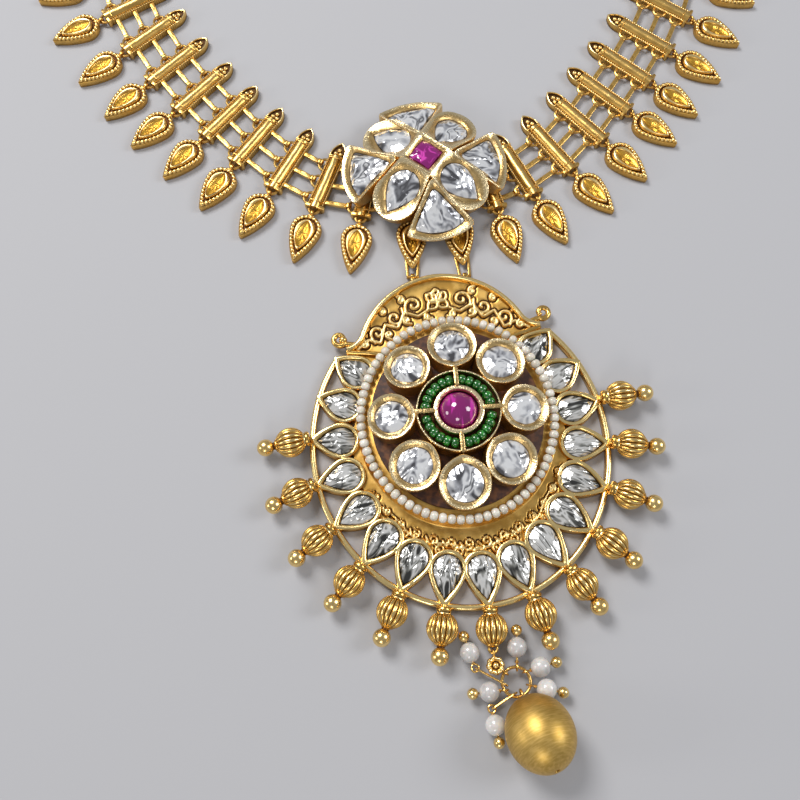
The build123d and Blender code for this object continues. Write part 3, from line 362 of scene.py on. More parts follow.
def arc_through(a: Sequence[float], b: Sequence[float], c: Sequence[float], count: int) -> Array:
    """Points of the circle's arc from a through b to c."""
    (ax, ay), (bx, by), (cx, cy) = a, b, c
    d = 2 * (ax * (by - cy) + bx * (cy - ay) + cx * (ay - by))
    sa, sb, sc = ax * ax + ay * ay, bx * bx + by * by, cx * cx + cy * cy
    x = (sa * (by - cy) + sb * (cy - ay) + sc * (ay - by)) / d
    y = (sa * (cx - bx) + sb * (ax - cx) + sc * (bx - ax)) / d
    start, end = math.atan2(ay - y, ax - x), math.atan2(cy - y, cx - x)
    through = math.atan2(by - y, bx - x)
    span = (end - start) % TAU
    if (through - start) % TAU > span:
        span -= TAU
    t = start + span * np.linspace(0, 1, count)
    radius = math.hypot(ax - x, ay - y)
    return np.stack([x + radius * np.cos(t), y + radius * np.sin(t)], axis=1)


def leaf(radius: float, reach: float, bow: float = 14.0, count: int = 24) -> Array:
    """A leaf's outline: a round end about the origin and two bowed sides to a point on +Y.

    A side is the arc that leaves the round end along its tangent T and ends in the point: at
    share t its chord has length 2 R sin(a t) and is turned by a t from T.

    Args:
        radius: of the round end.
        reach: from the origin to the point.
        bow: degrees that the sides bow outwards.
        count: spans of each half of the round end, and of each side.

    Returns:
        Points as (4 * count, 2), from the point round by the left side.
    """
    joint = math.radians(90 - math.degrees(math.acos(radius / reach)) - bow)
    t = np.linspace(-math.pi / 2, joint, count + 1)
    cap = radius * np.stack([np.cos(t), np.sin(t)], axis=1)
    tangent = np.array([-math.sin(joint), math.cos(joint)])
    chord = np.array([0, reach]) - cap[-1]
    bend = math.atan2(tangent[0] * chord[1] - tangent[1] * chord[0], tangent @ chord)
    turn = bend * np.linspace(0, 1, count + 1)[1:]
    length = np.linalg.norm(chord) / math.sin(bend) * np.sin(turn)
    side = cap[-1] + length[:, None] * np.stack([
        tangent[0] * np.cos(turn) - tangent[1] * np.sin(turn),
        tangent[0] * np.sin(turn) + tangent[1] * np.cos(turn),
    ], axis=1)
    right = np.concatenate([cap, side])
    left = right[1:-1] * [-1, 1]
    return np.concatenate([right[-1:], left[::-1], right[:-1]])


def oval(half_width: float, half_height: float, count: int) -> Array:
    """Points of an oval of four tangent arcs, evenly spaced in angle."""
    shift = (half_height - half_width) / (2 - math.sqrt(2))
    t = np.arange(count) / count * TAU
    sector = np.floor((t + math.pi / 4) / (math.pi / 2)).astype(int) % 4
    middles = np.array([(-shift, 0), (0, shift), (shift, 0), (0, -shift)])[sector]
    radii = np.where(sector % 2 == 0, half_width + shift, half_height - shift)
    return middles + radii[:, None] * np.stack([np.cos(t), np.sin(t)], axis=1)


def evenly(points: Array, count: int, loop: bool = True) -> Array:
    """Points spaced evenly by length along a line.

    Args:
        points: the line's points, (size, dimensions).
        count: how many points to return.
        loop: the line is closed.

    Returns:
        The new points.
    """
    line = np.concatenate([points, points[:1]]) if loop else points
    length = np.concatenate([[0], np.cumsum(np.linalg.norm(np.diff(line, axis=0), axis=1))])
    at = np.arange(count) / (count if loop else count - 1) * length[-1]
    return np.stack([np.interp(at, length, line[:, k]) for k in range(line.shape[1])], axis=1)


def by_angle(outline: Array, middle: Sequence[float], angles: Array) -> Array:
    """Where rays from a middle meet an outline that is seen whole from there."""
    fine = evenly(outline, 1200) - np.asarray(middle)
    theta = np.arctan2(fine[:, 1], fine[:, 0])
    order = np.argsort(theta)
    radius = np.interp(angles, theta[order], np.hypot(*fine[order].T), period=TAU)
    return np.asarray(middle) + radius[:, None] * np.stack([np.cos(angles), np.sin(angles)], axis=1)


def wobble(count: int, seed: int, waves: int = 6) -> Array:
    """A smooth closed line of values about 0: a sum of sines with seeded phases and falling heights."""
    rng = np.random.default_rng(seed)
    k = np.arange(1, waves + 1)[:, None]
    phase = rng.uniform(0, TAU, (waves, 1))
    height = rng.uniform(0.5, 1.0, (waves, 1)) / k ** 0.6
    values = (height * np.sin(k * np.linspace(0, TAU, count, endpoint=False) + phase)).sum(0)
    return values / np.abs(values).max()


def ripple(points: Array, size: float, seed: int, waves: int = 7) -> Array:
    """A smooth uneven value at each point: a sum of sines along seeded directions."""
    rng = np.random.default_rng(seed)
    way = rng.normal(size=(waves, points.shape[-1]))
    way /= np.linalg.norm(way, axis=1, keepdims=True)
    phase = rng.uniform(0, TAU, waves)
    speed = TAU / size * rng.uniform(0.6, 1.5, waves)
    return np.sin((points @ way.T) * speed + phase).sum(-1) / math.sqrt(waves)


def terrace(outlines: Sequence[Array], heights: Sequence[float | Array],
            relief: Sequence[float] | Array) -> Shell:
    """Outlines stacked from the bottom edge over the top to the middle, closed at both ends."""
    grid = np.stack([flat(o, z) for o, z in zip(outlines, heights)])
    return woven(grid, np.asarray(relief, float))


def layered(rows: Sequence[tuple[Array, float | Array, float]]) -> Shell:
    """A terrace from rows of outline, height and relief value; low relief gets painted shade, high relief a painted
    highlight.
    """
    outlines, heights, tones = zip(*rows)
    return terrace(outlines, heights, tones)


# Materials.


class Value:
    """A number socket, with Python's operators as Math nodes."""

    def __init__(self, graph: "Graph", socket: bpy.types.NodeSocket) -> None:
        """Keeps the socket and the graph that it belongs to."""
        self.graph, self.socket = graph, socket

    def _maths(self, operation: str, first: object, second: object = 0.0) -> "Value":
        """Adds one Math node and returns its result."""
        node = self.graph.node("ShaderNodeMath", {"operation": operation}, {0: first, 1: second})
        return Value(self.graph, node.outputs[0])

    def __add__(self, other: object) -> "Value":
        """self + other."""
        return self._maths("ADD", self, other)

    __radd__ = __add__

    def __sub__(self, other: object) -> "Value":
        """self - other."""
        return self._maths("SUBTRACT", self, other)

    def __rsub__(self, other: object) -> "Value":
        """other - self."""
        return self._maths("SUBTRACT", other, self)

    def __mul__(self, other: object) -> "Value":
        """self * other."""
        return self._maths("MULTIPLY", self, other)

    __rmul__ = __mul__

    def __pow__(self, other: object) -> "Value":
        """self to the power of other."""
        return self._maths("POWER", self, other)

    def step(self, low: float, high: float) -> "Value":
        """0 below low, 1 above high, and smooth between them."""
        node = self.graph.node("ShaderNodeMapRange", {"interpolation_type": "SMOOTHSTEP"},
                               {"Value": self, "From Min": low, "From Max": high})
        return Value(self.graph, node.outputs["Result"])


class Graph:
    """A material's nodes."""

    def __init__(self, name: str) -> None:
        """Makes an empty material."""
        self.material = bpy.data.materials.new(name)
        self.material.use_nodes = True
        self.tree = self.material.node_tree
        self.tree.nodes.clear()

    def node(self, kind: str, settings: dict | None = None, inputs: dict | None = None) -> bpy.types.Node:
        """Adds a node.

        Args:
            kind: the node's type.
            settings: its own settings, set first; "stops" sets a ramp's (place, colour) pairs.
            inputs: values or links of its sockets, by name, identifier or number.

        Returns:
            The node.
        """
        made = self.tree.nodes.new(kind)
        for key, value in (settings or {}).items():
            if key == "stops":
                self._stops(made, value)
            else:
                setattr(made, key, value)
        for key, value in (inputs or {}).items():
            socket = made.inputs[key] if isinstance(key, int) else next(
                s for s in made.inputs if key in (s.identifier, s.name) and s.enabled)
            if isinstance(value, Value):
                value = value.socket
            if isinstance(value, bpy.types.NodeSocket):
                self.tree.links.new(value, socket)
            else:
                socket.default_value = value
        return made

    @staticmethod
    def _stops(ramp: bpy.types.Node, stops: Sequence[tuple[float, Colour]]) -> None:
        """Sets a colour ramp's stops."""
        elements = ramp.color_ramp.elements
        while len(elements) < len(stops):
            elements.new(1.0)
        for element, (at, colour) in zip(elements, stops):
            element.position = at
            element.color = (*colour, 1.0)

    def attribute(self, name: str, output: str = "Fac") -> Value:
        """Reads a piece's own attribute."""
        return Value(self, self.node("ShaderNodeAttribute", {"attribute_name": name}).outputs[output])

    def coordinates(self, scale: Sequence[float] = (1, 1, 1), own: bool = False) -> bpy.types.NodeSocket:
        """Object coordinates in millimetres, or a stone's own chart, stretched by the scale."""
        if own:
            source = self.attribute("chart", "Vector").socket
            factor = tuple(scale)
        else:
            source = self.node("ShaderNodeTexCoord").outputs["Object"]
            factor = tuple(s / METRES for s in scale)
        node = self.node("ShaderNodeVectorMath", {"operation": "MULTIPLY"}, {0: source, 1: factor})
        return node.outputs[0]

    def noise(self, where: bpy.types.NodeSocket, size: float, detail: float = 3.0,
              distortion: float = 0.0) -> Value:
        """Noise of a size in millimetres, about 0.5."""
        node = self.node("ShaderNodeTexNoise", {}, {
            "Vector": where, "Scale": 1 / size, "Detail": detail, "Distortion": distortion})
        return Value(self, node.outputs["Fac"])

    def ramp(self, factor: Value, stops: Sequence[tuple[float, Colour]]) -> bpy.types.NodeSocket:
        """A colour for each value of the factor."""
        return self.node("ShaderNodeValToRGB", {"stops": stops}, {"Fac": factor}).outputs["Color"]

    def mixed(self, factor: Value, first: object, second: object) -> bpy.types.NodeSocket:
        """Two colours mixed by the factor."""
        colours = [(*c, 1.0) if isinstance(c, tuple) else c for c in (first, second)]
        node = self.node("ShaderNodeMix", {"data_type": "RGBA"}, {
            "Factor_Float": factor, "A_Color": colours[0], "B_Color": colours[1]})
        return next(s for s in node.outputs if s.identifier == "Result_Color")

    def finish(self, bump: Value | None, depth: float, inputs: dict) -> bpy.types.Material:
        """Adds the shader, with a bump of a depth in millimetres, and returns the material."""
        if bump is not None:
            node = self.node("ShaderNodeBump", {}, {
                "Height": bump, "Distance": depth * METRES, "Strength": 1.0})
            inputs = {**inputs, "Normal": node.outputs["Normal"]}
        shader = self.node("ShaderNodeBsdfPrincipled", {}, inputs)
        output = self.node("ShaderNodeOutputMaterial")
        self.tree.links.new(shader.outputs[0], output.inputs["Surface"])
        return self.material


@dataclass(frozen=True)
class GoldFinish:
    """Antique gold: edges with a painted highlight, a matte body, and hollows with painted shade."""

    name: str
    body: Colour = (0.78, 0.49, 0.14)
    deep: Colour = (0.50, 0.27, 0.055)
    # hollow is the painted shade of the hollows; edge is the painted highlight of the edges.
    hollow: Colour = (0.065, 0.026, 0.006)
    edge: Colour = (1.0, 0.76, 0.34)
    rough: float = 0.30
    rough_hollow: float = 0.55
    grain: float = 0.02
    grain_size: float = 0.35
    stain: float = 0.5

    def build(self) -> bpy.types.Material:
        """Makes the material.

        Returns:
            The material, whose colour follows the relief, as painted shade in hollows and a painted highlight on
            edges, and two sizes of noise.
        """
        g = Graph(self.name)
        relief = g.attribute("relief")
        where = g.coordinates()
        patches = g.noise(where, 3.0, 4.0)
        grain = g.noise(where, self.grain_size, 4.0)
        # The relief, made uneven by noise, sets painted shade in the hollows and a painted highlight on the edges.
        shade_and_highlight = relief + 0.30 * (patches - 0.5) + 0.22 * (grain - 0.5)
        body = g.mixed(patches.step(0.40, 0.62) * self.stain, self.body, self.deep)
        # Painted shade in the hollows.
        dark = g.mixed(shade_and_highlight.step(0.12, 0.48), self.hollow, body)
        # Painted highlight on the edges.
        colour = g.mixed(shade_and_highlight.step(0.66, 0.98), dark, self.edge)
        rough = self.rough_hollow + (self.rough - self.rough_hollow) * shade_and_highlight.step(0.1, 0.7)
        rough = rough + 0.12 * (grain - 0.5)
        return g.finish(grain + 0.4 * patches, self.grain, {
            "Base Color": colour, "Metallic": 0.72 + 0.28 * shade_and_highlight.step(0.1, 0.4), "Roughness": rough})


@dataclass(frozen=True)
class BrushedFinish:
    """Matte gold scratched round its axis."""

    name: str
    body: Colour = (0.74, 0.50, 0.16)
    dark: Colour = (0.50, 0.31, 0.07)

    def build(self) -> bpy.types.Material:
        """Makes the material: fine noise stretched round the ball."""
        g = Graph(self.name)
        scratches = g.noise(g.coordinates((3.0, 3.0, 12.0), own=True), 1.0, 4.0)
        clouds = g.noise(g.coordinates(), 4.0, 3.0)
        colour = g.mixed(scratches.step(0.35, 0.7) * 0.6 + 0.4 * clouds.step(0.3, 0.7), self.dark, self.body)
        return g.finish(scratches, 0.012, {
            "Base Color": colour, "Metallic": 1.0, "Roughness": 0.40 + 0.12 * scratches})


@dataclass(frozen=True)
class FoilFinish:
    """A hand-cut stone over crinkled silver foil, whose reflections are painted into the colour."""

    name: str
    # light, mid and dark are painted reflections of the foil, from bright to shaded.
    light: Colour = (0.93, 0.94, 0.96)
    mid: Colour = (0.48, 0.49, 0.53)
    dark: Colour = (0.09, 0.09, 0.10)
    streak: tuple[float, float] = (1.0, 1.0)
    size: float = 1.6

    def build(self) -> bpy.types.Material:
        """Makes the material.

        Returns:
            The material: warped noise paints the foil's bright and dark reflections in the stone's own chart.
        """
        g = Graph(self.name)
        where = g.coordinates((self.streak[0], self.streak[1], 7.3), own=True)
        folds = g.noise(where, self.size, 1.0, 1.4)
        fine = g.noise(where, self.size * 0.35, 3.0, 0.8)
        tone = folds + 0.14 * (fine - 0.5)
        # The ramp paints the foil's reflections: bright streaks and dark blotches.
        colour = g.ramp(tone, [
            (0.32, self.dark), (0.41, self.mid), (0.47, self.light), (0.53, self.light),
            (0.58, self.mid), (0.63, self.dark), (0.68, self.light), (0.80, self.mid)])
        return g.finish(folds + 0.2 * fine, 0.30, {
            "Base Color": colour, "Metallic": 0.55, "Roughness": 0.14, "Coat Weight": 1.0,
            "Coat Roughness": 0.03})


@dataclass(frozen=True)
class GlassFinish:
    """Coloured glass over foil: light streaks in a deep body."""

    name: str
    body: Colour
    light: Colour
    streak: tuple[float, float] = (1.0, 0.4)
    size: float = 1.5
    spread: float = 0.0

    def build(self) -> bpy.types.Material:
        """Makes the material: streaks of the light colour along the chart's Y."""
        g = Graph(self.name)
        where = g.coordinates((*self.streak, 3.1), own=True)
        folds = g.noise(where, self.size, 2.0, 0.8)
        colour = g.mixed(folds.step(0.52, 0.68), self.body, self.light)
        return g.finish(folds, self.spread, {
            "Base Color": colour, "Roughness": 0.06, "Coat Weight": 1.0, "Coat Roughness": 0.02,
            "IOR": 1.55})


@dataclass(frozen=True)
class PearlFinish:
    """Pearl: a soft satin body with a slight change from bead to bead."""

    name: str
    light: Colour
    shade: Colour
    rough: float = 0.24

    def build(self) -> bpy.types.Material:
        """Makes the material: the body colour drifts with each bead's number."""
        g = Graph(self.name)
        beads = g.noise(g.coordinates((0.05, 0.05, 1.7), own=True), 1.0, 1.0)
        clouds = g.noise(g.coordinates(), 0.8, 3.0)
        colour = g.mixed(0.65 * beads.step(0.35, 0.65) + 0.35 * clouds.step(0.3, 0.7), self.shade, self.light)
        return g.finish(clouds, 0.01, {
            "Base Color": colour, "Roughness": self.rough, "Coat Weight": 0.6, "Coat Roughness": 0.12,
            "Subsurface Weight": 0.12, "Subsurface Scale": 0.0008})


@dataclass(frozen=True)
class GapShadeFinish:
    """A dark red-brown sheet in the gaps of the flower: painted shade between the petals."""

    name: str
    body: Colour = (0.035, 0.008, 0.003)
    light: Colour = (0.16, 0.055, 0.014)

    def build(self) -> bpy.types.Material:
        """Makes the material: mottled and half glossy."""
        g = Graph(self.name)
        mottle = g.noise(g.coordinates(), 1.2, 5.0)
        return g.finish(mottle, 0.05, {
            "Base Color": g.mixed(mottle.step(0.4, 0.75), self.body, self.light), "Roughness": 0.6})


class Finish(Enum):
    """The finishes of the necklace."""

    BAR = GoldFinish("bar_gold")
    LEAF = GoldFinish("leaf_gold", deep=(0.58, 0.29, 0.045), hollow=(0.10, 0.034, 0.005))
    LENS = GoldFinish("leaf_lens", body=(0.82, 0.47, 0.07), deep=(0.55, 0.27, 0.03), edge=(1.0, 0.66, 0.18),
                      grain=0.06, grain_size=0.4)
    FRAME = GoldFinish("frame_gold", rough=0.24)
    CHASED = GoldFinish("chased_gold", rough=0.36, stain=0.8, hollow=(0.045, 0.017, 0.005))
    RIM = GoldFinish("champagne_rim", body=(0.76, 0.53, 0.23), deep=(0.48, 0.29, 0.09),
                     hollow=(0.08, 0.034, 0.010), edge=(1.0, 0.82, 0.50), rough=0.26, grain=0.09,
                     grain_size=0.42)
    BEAD = GoldFinish("melon_gold", body=(0.80, 0.48, 0.12), hollow=(0.07, 0.022, 0.004), rough=0.24)
    WIRE = GoldFinish("wire_gold", body=(0.78, 0.48, 0.14), rough=0.24, stain=0.25)
    BALL = BrushedFinish("brushed_gold")
    PETAL_FOIL = FoilFinish("petal_foil", streak=(1.0, 0.7), size=3.3)
    PEAR_FOIL = FoilFinish("pear_foil", light=(0.80, 0.80, 0.79), mid=(0.30, 0.30, 0.28),
                           dark=(0.03, 0.03, 0.028), streak=(1.5, 0.40), size=2.5)
    CLUSTER_FOIL = FoilFinish("cluster_foil", streak=(1.1, 0.65), size=3.8)
    MAGENTA = GlassFinish("magenta_glass", (0.19, 0.001, 0.11), (0.55, 0.015, 0.36), (1.0, 0.22), 1.5, 0.05)
    PINK = GlassFinish("pink_glass", (0.20, 0.001, 0.13), (0.62, 0.05, 0.42), (1.0, 1.0), 1.8, 0.12)
    GREEN = GlassFinish("green_glass", (0.004, 0.10, 0.010), (0.03, 0.30, 0.035), (1.0, 1.0), 0.9, 0.03)
    SEED = PearlFinish("seed_pearl_cream", (0.80, 0.77, 0.69), (0.50, 0.45, 0.37))
    GREY = PearlFinish("pearl_grey", (0.74, 0.72, 0.70), (0.40, 0.38, 0.38), 0.18)
    # A dark sheet that paints shade in the gaps between the petals.
    GAP_SHADE = GapShadeFinish("painted_gap_shade")


class Palette:
    """Materials, made once each."""

    def __init__(self) -> None:
        """Starts with no materials."""
        self.made: dict[Finish, bpy.types.Material] = {}

    def of(self, finish: Finish) -> bpy.types.Material:
        """The material of a finish."""
        if finish not in self.made:
            self.made[finish] = finish.value.build()
        return self.made[finish]


PALETTE = Palette()


def piece(name: str, shell: Shell, finish: Finish, nodes: Sequence[str] = (),
          sharp: float = 38.0) -> bpy.types.Object:
    """Makes an object of a shell and sets it on the frame.

    Args:
        name: the piece's name.
        shell: its mesh in millimetres.
        finish: its finish.
        nodes: CAD nodes that it stands for.
        sharp: edges that turn by more than this many degrees stay sharp.

    Returns:
        The object.
    """
    mesh = bpy.data.meshes.new(name)
    faces = shell.quads.tolist() + shell.triangles.tolist()
    mesh.from_pydata((shell.points * METRES).tolist(), [], faces)
    for key, kind, values in (("relief", "FLOAT", shell.relief), ("chart", "FLOAT_VECTOR", shell.chart)):
        attribute = mesh.attributes.new(key, kind, "POINT")
        attribute.data.foreach_set("vector" if kind == "FLOAT_VECTOR" else "value",
                                   np.ascontiguousarray(values, np.float32).ravel())
    mesh.polygons.foreach_set("use_smooth", np.ones(len(mesh.polygons), bool))
    mesh.set_sharp_from_angle(angle=math.radians(sharp))
    mesh.update()
    made = bpy.data.objects.new(name, mesh)
    bpy.context.scene.collection.objects.link(made)
    made.data.materials.append(PALETTE.of(finish))
    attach(made, "root")
    if nodes:
        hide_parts(*nodes)
    log.info("%s: %d triangles", name, 2 * len(shell.quads) + len(shell.triangles))
    return made


# Collar.


@dataclass
class Band:
    """Where the bars of the collar lie, from the left end of the band to the right end."""

    middle_x: float = -2.63
    front: tuple[tuple[float, float, float, float], ...] = (
        # out, up, lean, shift
        (4.3, 61.75, 3.0, 1.6), (13.0, 61.25, 13.2, 0.8), (20.7, 63.6, 23.9, 0), (28.6, 68.61, 32.1, 0),
        (35.9, 75.19, 38.7, 0), (42.15, 82.1, 43.6, 0), (48.25, 89.33, 46.0, 0), (54.25, 97.29, 48.8, 0),
        (59.8, 106.25, 52.0, 0),
    )
    arc_radius: float = 69.0
    arc_middle_y: float = 140.75
    start_angle: float = -30.0
    start_shear: float = 8.0
    bar_pitch: float = 9.8
    rear_bars: int = 7
    places: Array = field(init=False)

    def __post_init__(self) -> None:
        """Works out the places, as rows of x, y and turn."""
        step = np.arange(1, self.rear_bars + 1)
        angle = self.start_angle + step * math.degrees(self.bar_pitch / self.arc_radius)
        shear = self.start_shear * np.maximum(0, 1 - step / 4)
        rear = np.stack([
            self.arc_radius * np.cos(np.radians(angle)),
            self.arc_middle_y + self.arc_radius * np.sin(np.radians(angle)),
            90 + angle - shear,
            0 * angle,
        ], axis=1)
        rows = np.concatenate([np.array(self.front), rear])
        sides = [np.stack([self.middle_x + rows[:, 3] + side * rows[:, 0], rows[:, 1], side * rows[:, 2]],
                          axis=1) for side in (-1, 1)]
        self.places = np.concatenate([sides[0][::-1], sides[1]])

    @property
    def half(self) -> int:
        """How many bars each side has."""
        return len(self.places) // 2

    def on_bar(self, index: int, x: float, y: float) -> tuple[float, float]:
        """A flat point given in a bar's own frame."""
        px, py, turn = self.places[index]
        dx, dy = flat_turn((x, y), turn)
        return (px + dx, py + dy)

    def matrices(self, indexes: Sequence[int]) -> list[Array]:
        """The places of some bars as matrices."""
        return [place(*self.places[i][:2], 0.0, self.places[i][2]) for i in indexes]


BAND = Band()


@dataclass
class BarCasting:
    """One bar of the collar with its finial, rings and tabs."""

    width: float = 3.5
    foot: float = -9.1
    shoulder: float = 4.7
    tip: float = 8.7
    bulge: float = 0.44
    rib_span: float = 86.0
    rib_radius: float = 1.3
    rib_middle: float = 1.3
    valley: float = 1.5
    edge_width: float = 0.38
    edge_height: float = 1.85
    milgrain: float = 0.55
    finial_top: float = 1.8
    finial_field: float = 1.3
    granule: float = 0.52
    granule_places: tuple[tuple[float, float], ...] = ((-0.56, 1.0), (0.56, 1.0), (0, 1.98))
    link_rows: tuple[float, ...] = (2.3, -2.2, -6.7)
    link_height: float = 1.1
    ring_radius: float = 1.45
    ring_wire: float = 0.31
    end_wire: float = 0.32
    drop_ring: float = 1.1
    bail_ring: float = 1.5
    eye_hole: float = 0.44
    eye_radius: float = 0.78
    tab_width: float = 1.1
    tab_height: float = 0.7
    tab_root: float = 0.4
    end_ring: float = 1.7

    def plate(self) -> Shell:
        """The plate: a half-round rib between two beaded edges.

        The edges' height at y is the top less a share of 1 - |sin(pi y / pitch)|.
        """
        half = self.width / 2
        reach = math.radians(self.rib_span)
        rib = np.linspace(reach, -reach, 9)
        arc = np.stack([self.rib_radius * np.sin(-rib), self.rib_middle + self.rib_radius * np.cos(rib)],
                       axis=1)
        arc[:, 1] = np.maximum(arc[:, 1], self.valley)
        inner = half - self.edge_width
        left = np.array([(-half + 0.15, 0), (-half, 0.15), (-half, self.edge_height - 0.14),
                         (-half + 0.1, self.edge_height), (-inner - 0.1, self.edge_height),
                         (-inner, self.edge_height - 0.14), (-inner + 0.02, self.valley)])
        profile = np.concatenate([left, arc, left[::-1] * [-1, 1]])
        top = np.zeros(len(profile))
        top[[3, 4, -5, -4]] = 1
        side = np.zeros(len(profile))
        side[[2, 5, -6, -3]] = 1
        # The tones paint shade down the rib's flanks and at the edges' inner foot, and a highlight on the edges'
        # tops.
        edge_tone = [0.3, 0.3, 0.7, 1.0, 1.0, 0.6, 0.02]
        rib_tone = 0.12 + 0.66 * np.abs(np.cos(rib)) ** 0.8
        tone = np.concatenate([edge_tone, rib_tone, edge_tone[::-1]])
        grains = round((self.shoulder - self.foot) / self.milgrain)
        y = np.linspace(self.foot, self.shoulder, 4 * grains + 1)
        bead = 1 - np.abs(np.sin(math.pi * np.arange(len(y)) / 4))
        grid = np.zeros((len(y), len(profile), 3))
        grid[..., 0] = profile[None, :, 0]
        grid[..., 1] = y[:, None]
        grid[..., 2] = profile[None, :, 1] - bead[:, None] * (0.20 * top + 0.08 * side)
        rib_mask = profile[:, 1] > self.valley + 0.02
        uneven = ripple(grid * [1, 0.6, 1], 2.4, 5)
        grid[..., 2] += 0.035 * uneven * rib_mask[None] * (profile[None, :, 1] > self.edge_height + 0.05)
        # Painted shade between the milled grains.
        relief = tone[None] - 0.45 * bead[:, None] * (top + side)
        return woven(grid, relief)

    def finial(self) -> Shell:
        """The pointed finial: a raised border, a low field and three grains."""
        half = self.width / 2
        flank = arc_through((half, 0), (self.bulge * self.width, 0.5 * (self.tip - self.shoulder)),
                            (0, self.tip - self.shoulder), 17)
        outline = np.concatenate([flank, flank[-2::-1] * [-1, 1]]) + [0, self.shoulder]
        middle = np.array([0, self.shoulder + 1.5])
        # The tones paint a highlight on the border's top and shade where the field meets it.
        rows = [(1.0, 0.1, 0.2), (1.0, 1.6, 0.6), (0.97, 1.76, 1.0), (0.91, self.finial_top, 1.0),
                (0.84, 1.76, 0.95), (0.80, 1.58, 0.4), (0.78, self.finial_field, 0.02),
                (0.5, self.finial_field, 0.15), (0.1, self.finial_field, 0.15)]
        body = layered([(middle + (outline - middle) * share, z, tone) for share, z, tone in rows])
        spots = [place(x, self.shoulder + y, self.finial_field + 0.08) for x, y in self.granule_places]
        return joined([body, ball(self.granule, 7, 10, 0.85).copies(spots)])

    def casting(self) -> Shell:
        """Everything that all bars share: the plate, the finial, a foot flange and three cross ridges."""
        flange = pillow(self.width + 1.1, 0.8, 2.0, 0.3).at(place(0, self.foot + 0.42, 1.12))
        ridge = pillow(self.width + 0.25, 0.42, 0.9, 0.5).at(place(0, self.shoulder, 1.7))
        bead = pillow(self.width - 0.6, 0.26, 0.5, 0.6)
        beads = bead.copies([place(0, y, 2.42) for y in (self.shoulder - 0.75, self.foot + 1.5)])
        return joined([self.plate(), self.finial(), flange, ridge, beads])

    def rings(self, rows: Sequence[float]) -> Shell:
        """The wire rings on the left edge."""
        return torus(self.ring_radius, self.ring_wire).copies(
            [place(-self.width / 2, y, self.link_height) for y in rows])

    def tabs(self, indexes: Sequence[int]) -> Shell:
        """The tabs of some bars, each with an eye round the next bar's ring.

        Args:
            indexes: bars that have a right neighbour.

        Returns:
            Straps with a cross notch, and eyes.
        """
        strap = pillow(1.0, self.tab_width, self.tab_height, 0.28, 7, 14).at(place(0.5, 0, 0))
        dip = np.exp(-((strap.points[:, 0] - 0.62) / 0.07) ** 2)
        strap.points[:, 2] *= 1 - 0.45 * dip
        # Painted shade in the tab's notch.
        strap.relief[:] = 0.72 - 0.72 * dip
        eye = sleeve(self.eye_hole, self.eye_radius, self.tab_width / 2).at(tipped("x", 90))
        straps, eyes = [], []
        for i in indexes:
            for y in self.link_rows:
                middle = BAND.on_bar(i + 1, -self.width / 2, y)
                root = BAND.on_bar(i, self.width / 2, y)
                distance, angle = heading(middle, root)
                reach = distance - self.ring_radius + self.tab_root
                dx, dy = flat_turn((self.ring_radius, 0), angle)
                spot = place(middle[0] + dx, middle[1] + dy, self.link_height, angle)
                eyes.append(spot)
                length = reach - self.eye_hole - 0.1
                straps.append(spot @ place(self.eye_hole + 0.1, 0) @ stretched(length))
        return joined([strap.copies(straps), eye.copies(eyes)])

    def run(self, indexes: Sequence[int]) -> Shell:
        """A run of bars in place."""
        last = len(BAND.places) - 1
        parts = [self.casting().copies(BAND.matrices(indexes))]
        ringed = [i for i in indexes if i > 0]
        parts.append(self.rings(self.link_rows).copies(BAND.matrices(ringed)))
        parts.append(self.tabs([i for i in indexes if i < last]))
        middle = (BAND.half - 1, BAND.half)
        for radius, which in ((self.drop_ring, [i for i in indexes if i not in middle]),
                              (self.bail_ring, [i for i in indexes if i in middle])):
            if which:
                spots = [m @ place(0, self.foot, self.link_height) for m in BAND.matrices(which)]
                parts.append(torus(radius, self.ring_wire).copies(spots))
        for index, side in ((0, -1), (last, 1)):
            if index in indexes:
                at = BAND.matrices([index])[0]
                ring = torus(self.end_ring, self.end_wire)
                parts.append(ring.at(at @ place(side * self.width / 2, 0, 1.55)))
                stub = pillow(1.1, 2 * self.end_ring + 0.9, 0.9, 0.3)
                parts.append(stub.at(at @ place(side * (self.width / 2 - 0.5), 0, 1.95)))
        return joined(parts)

    def build(self) -> None:
        """Makes the left and the right run; the two middle bars belong to the cluster."""
        half = BAND.half
        piece("bars_left", self.run(range(half - 1)), Finish.BAR, ["bar_links_left"])
        piece("bars_right", self.run(range(half + 1, 2 * half)), Finish.BAR, ["bar_links_right"])


BAR = BarCasting()


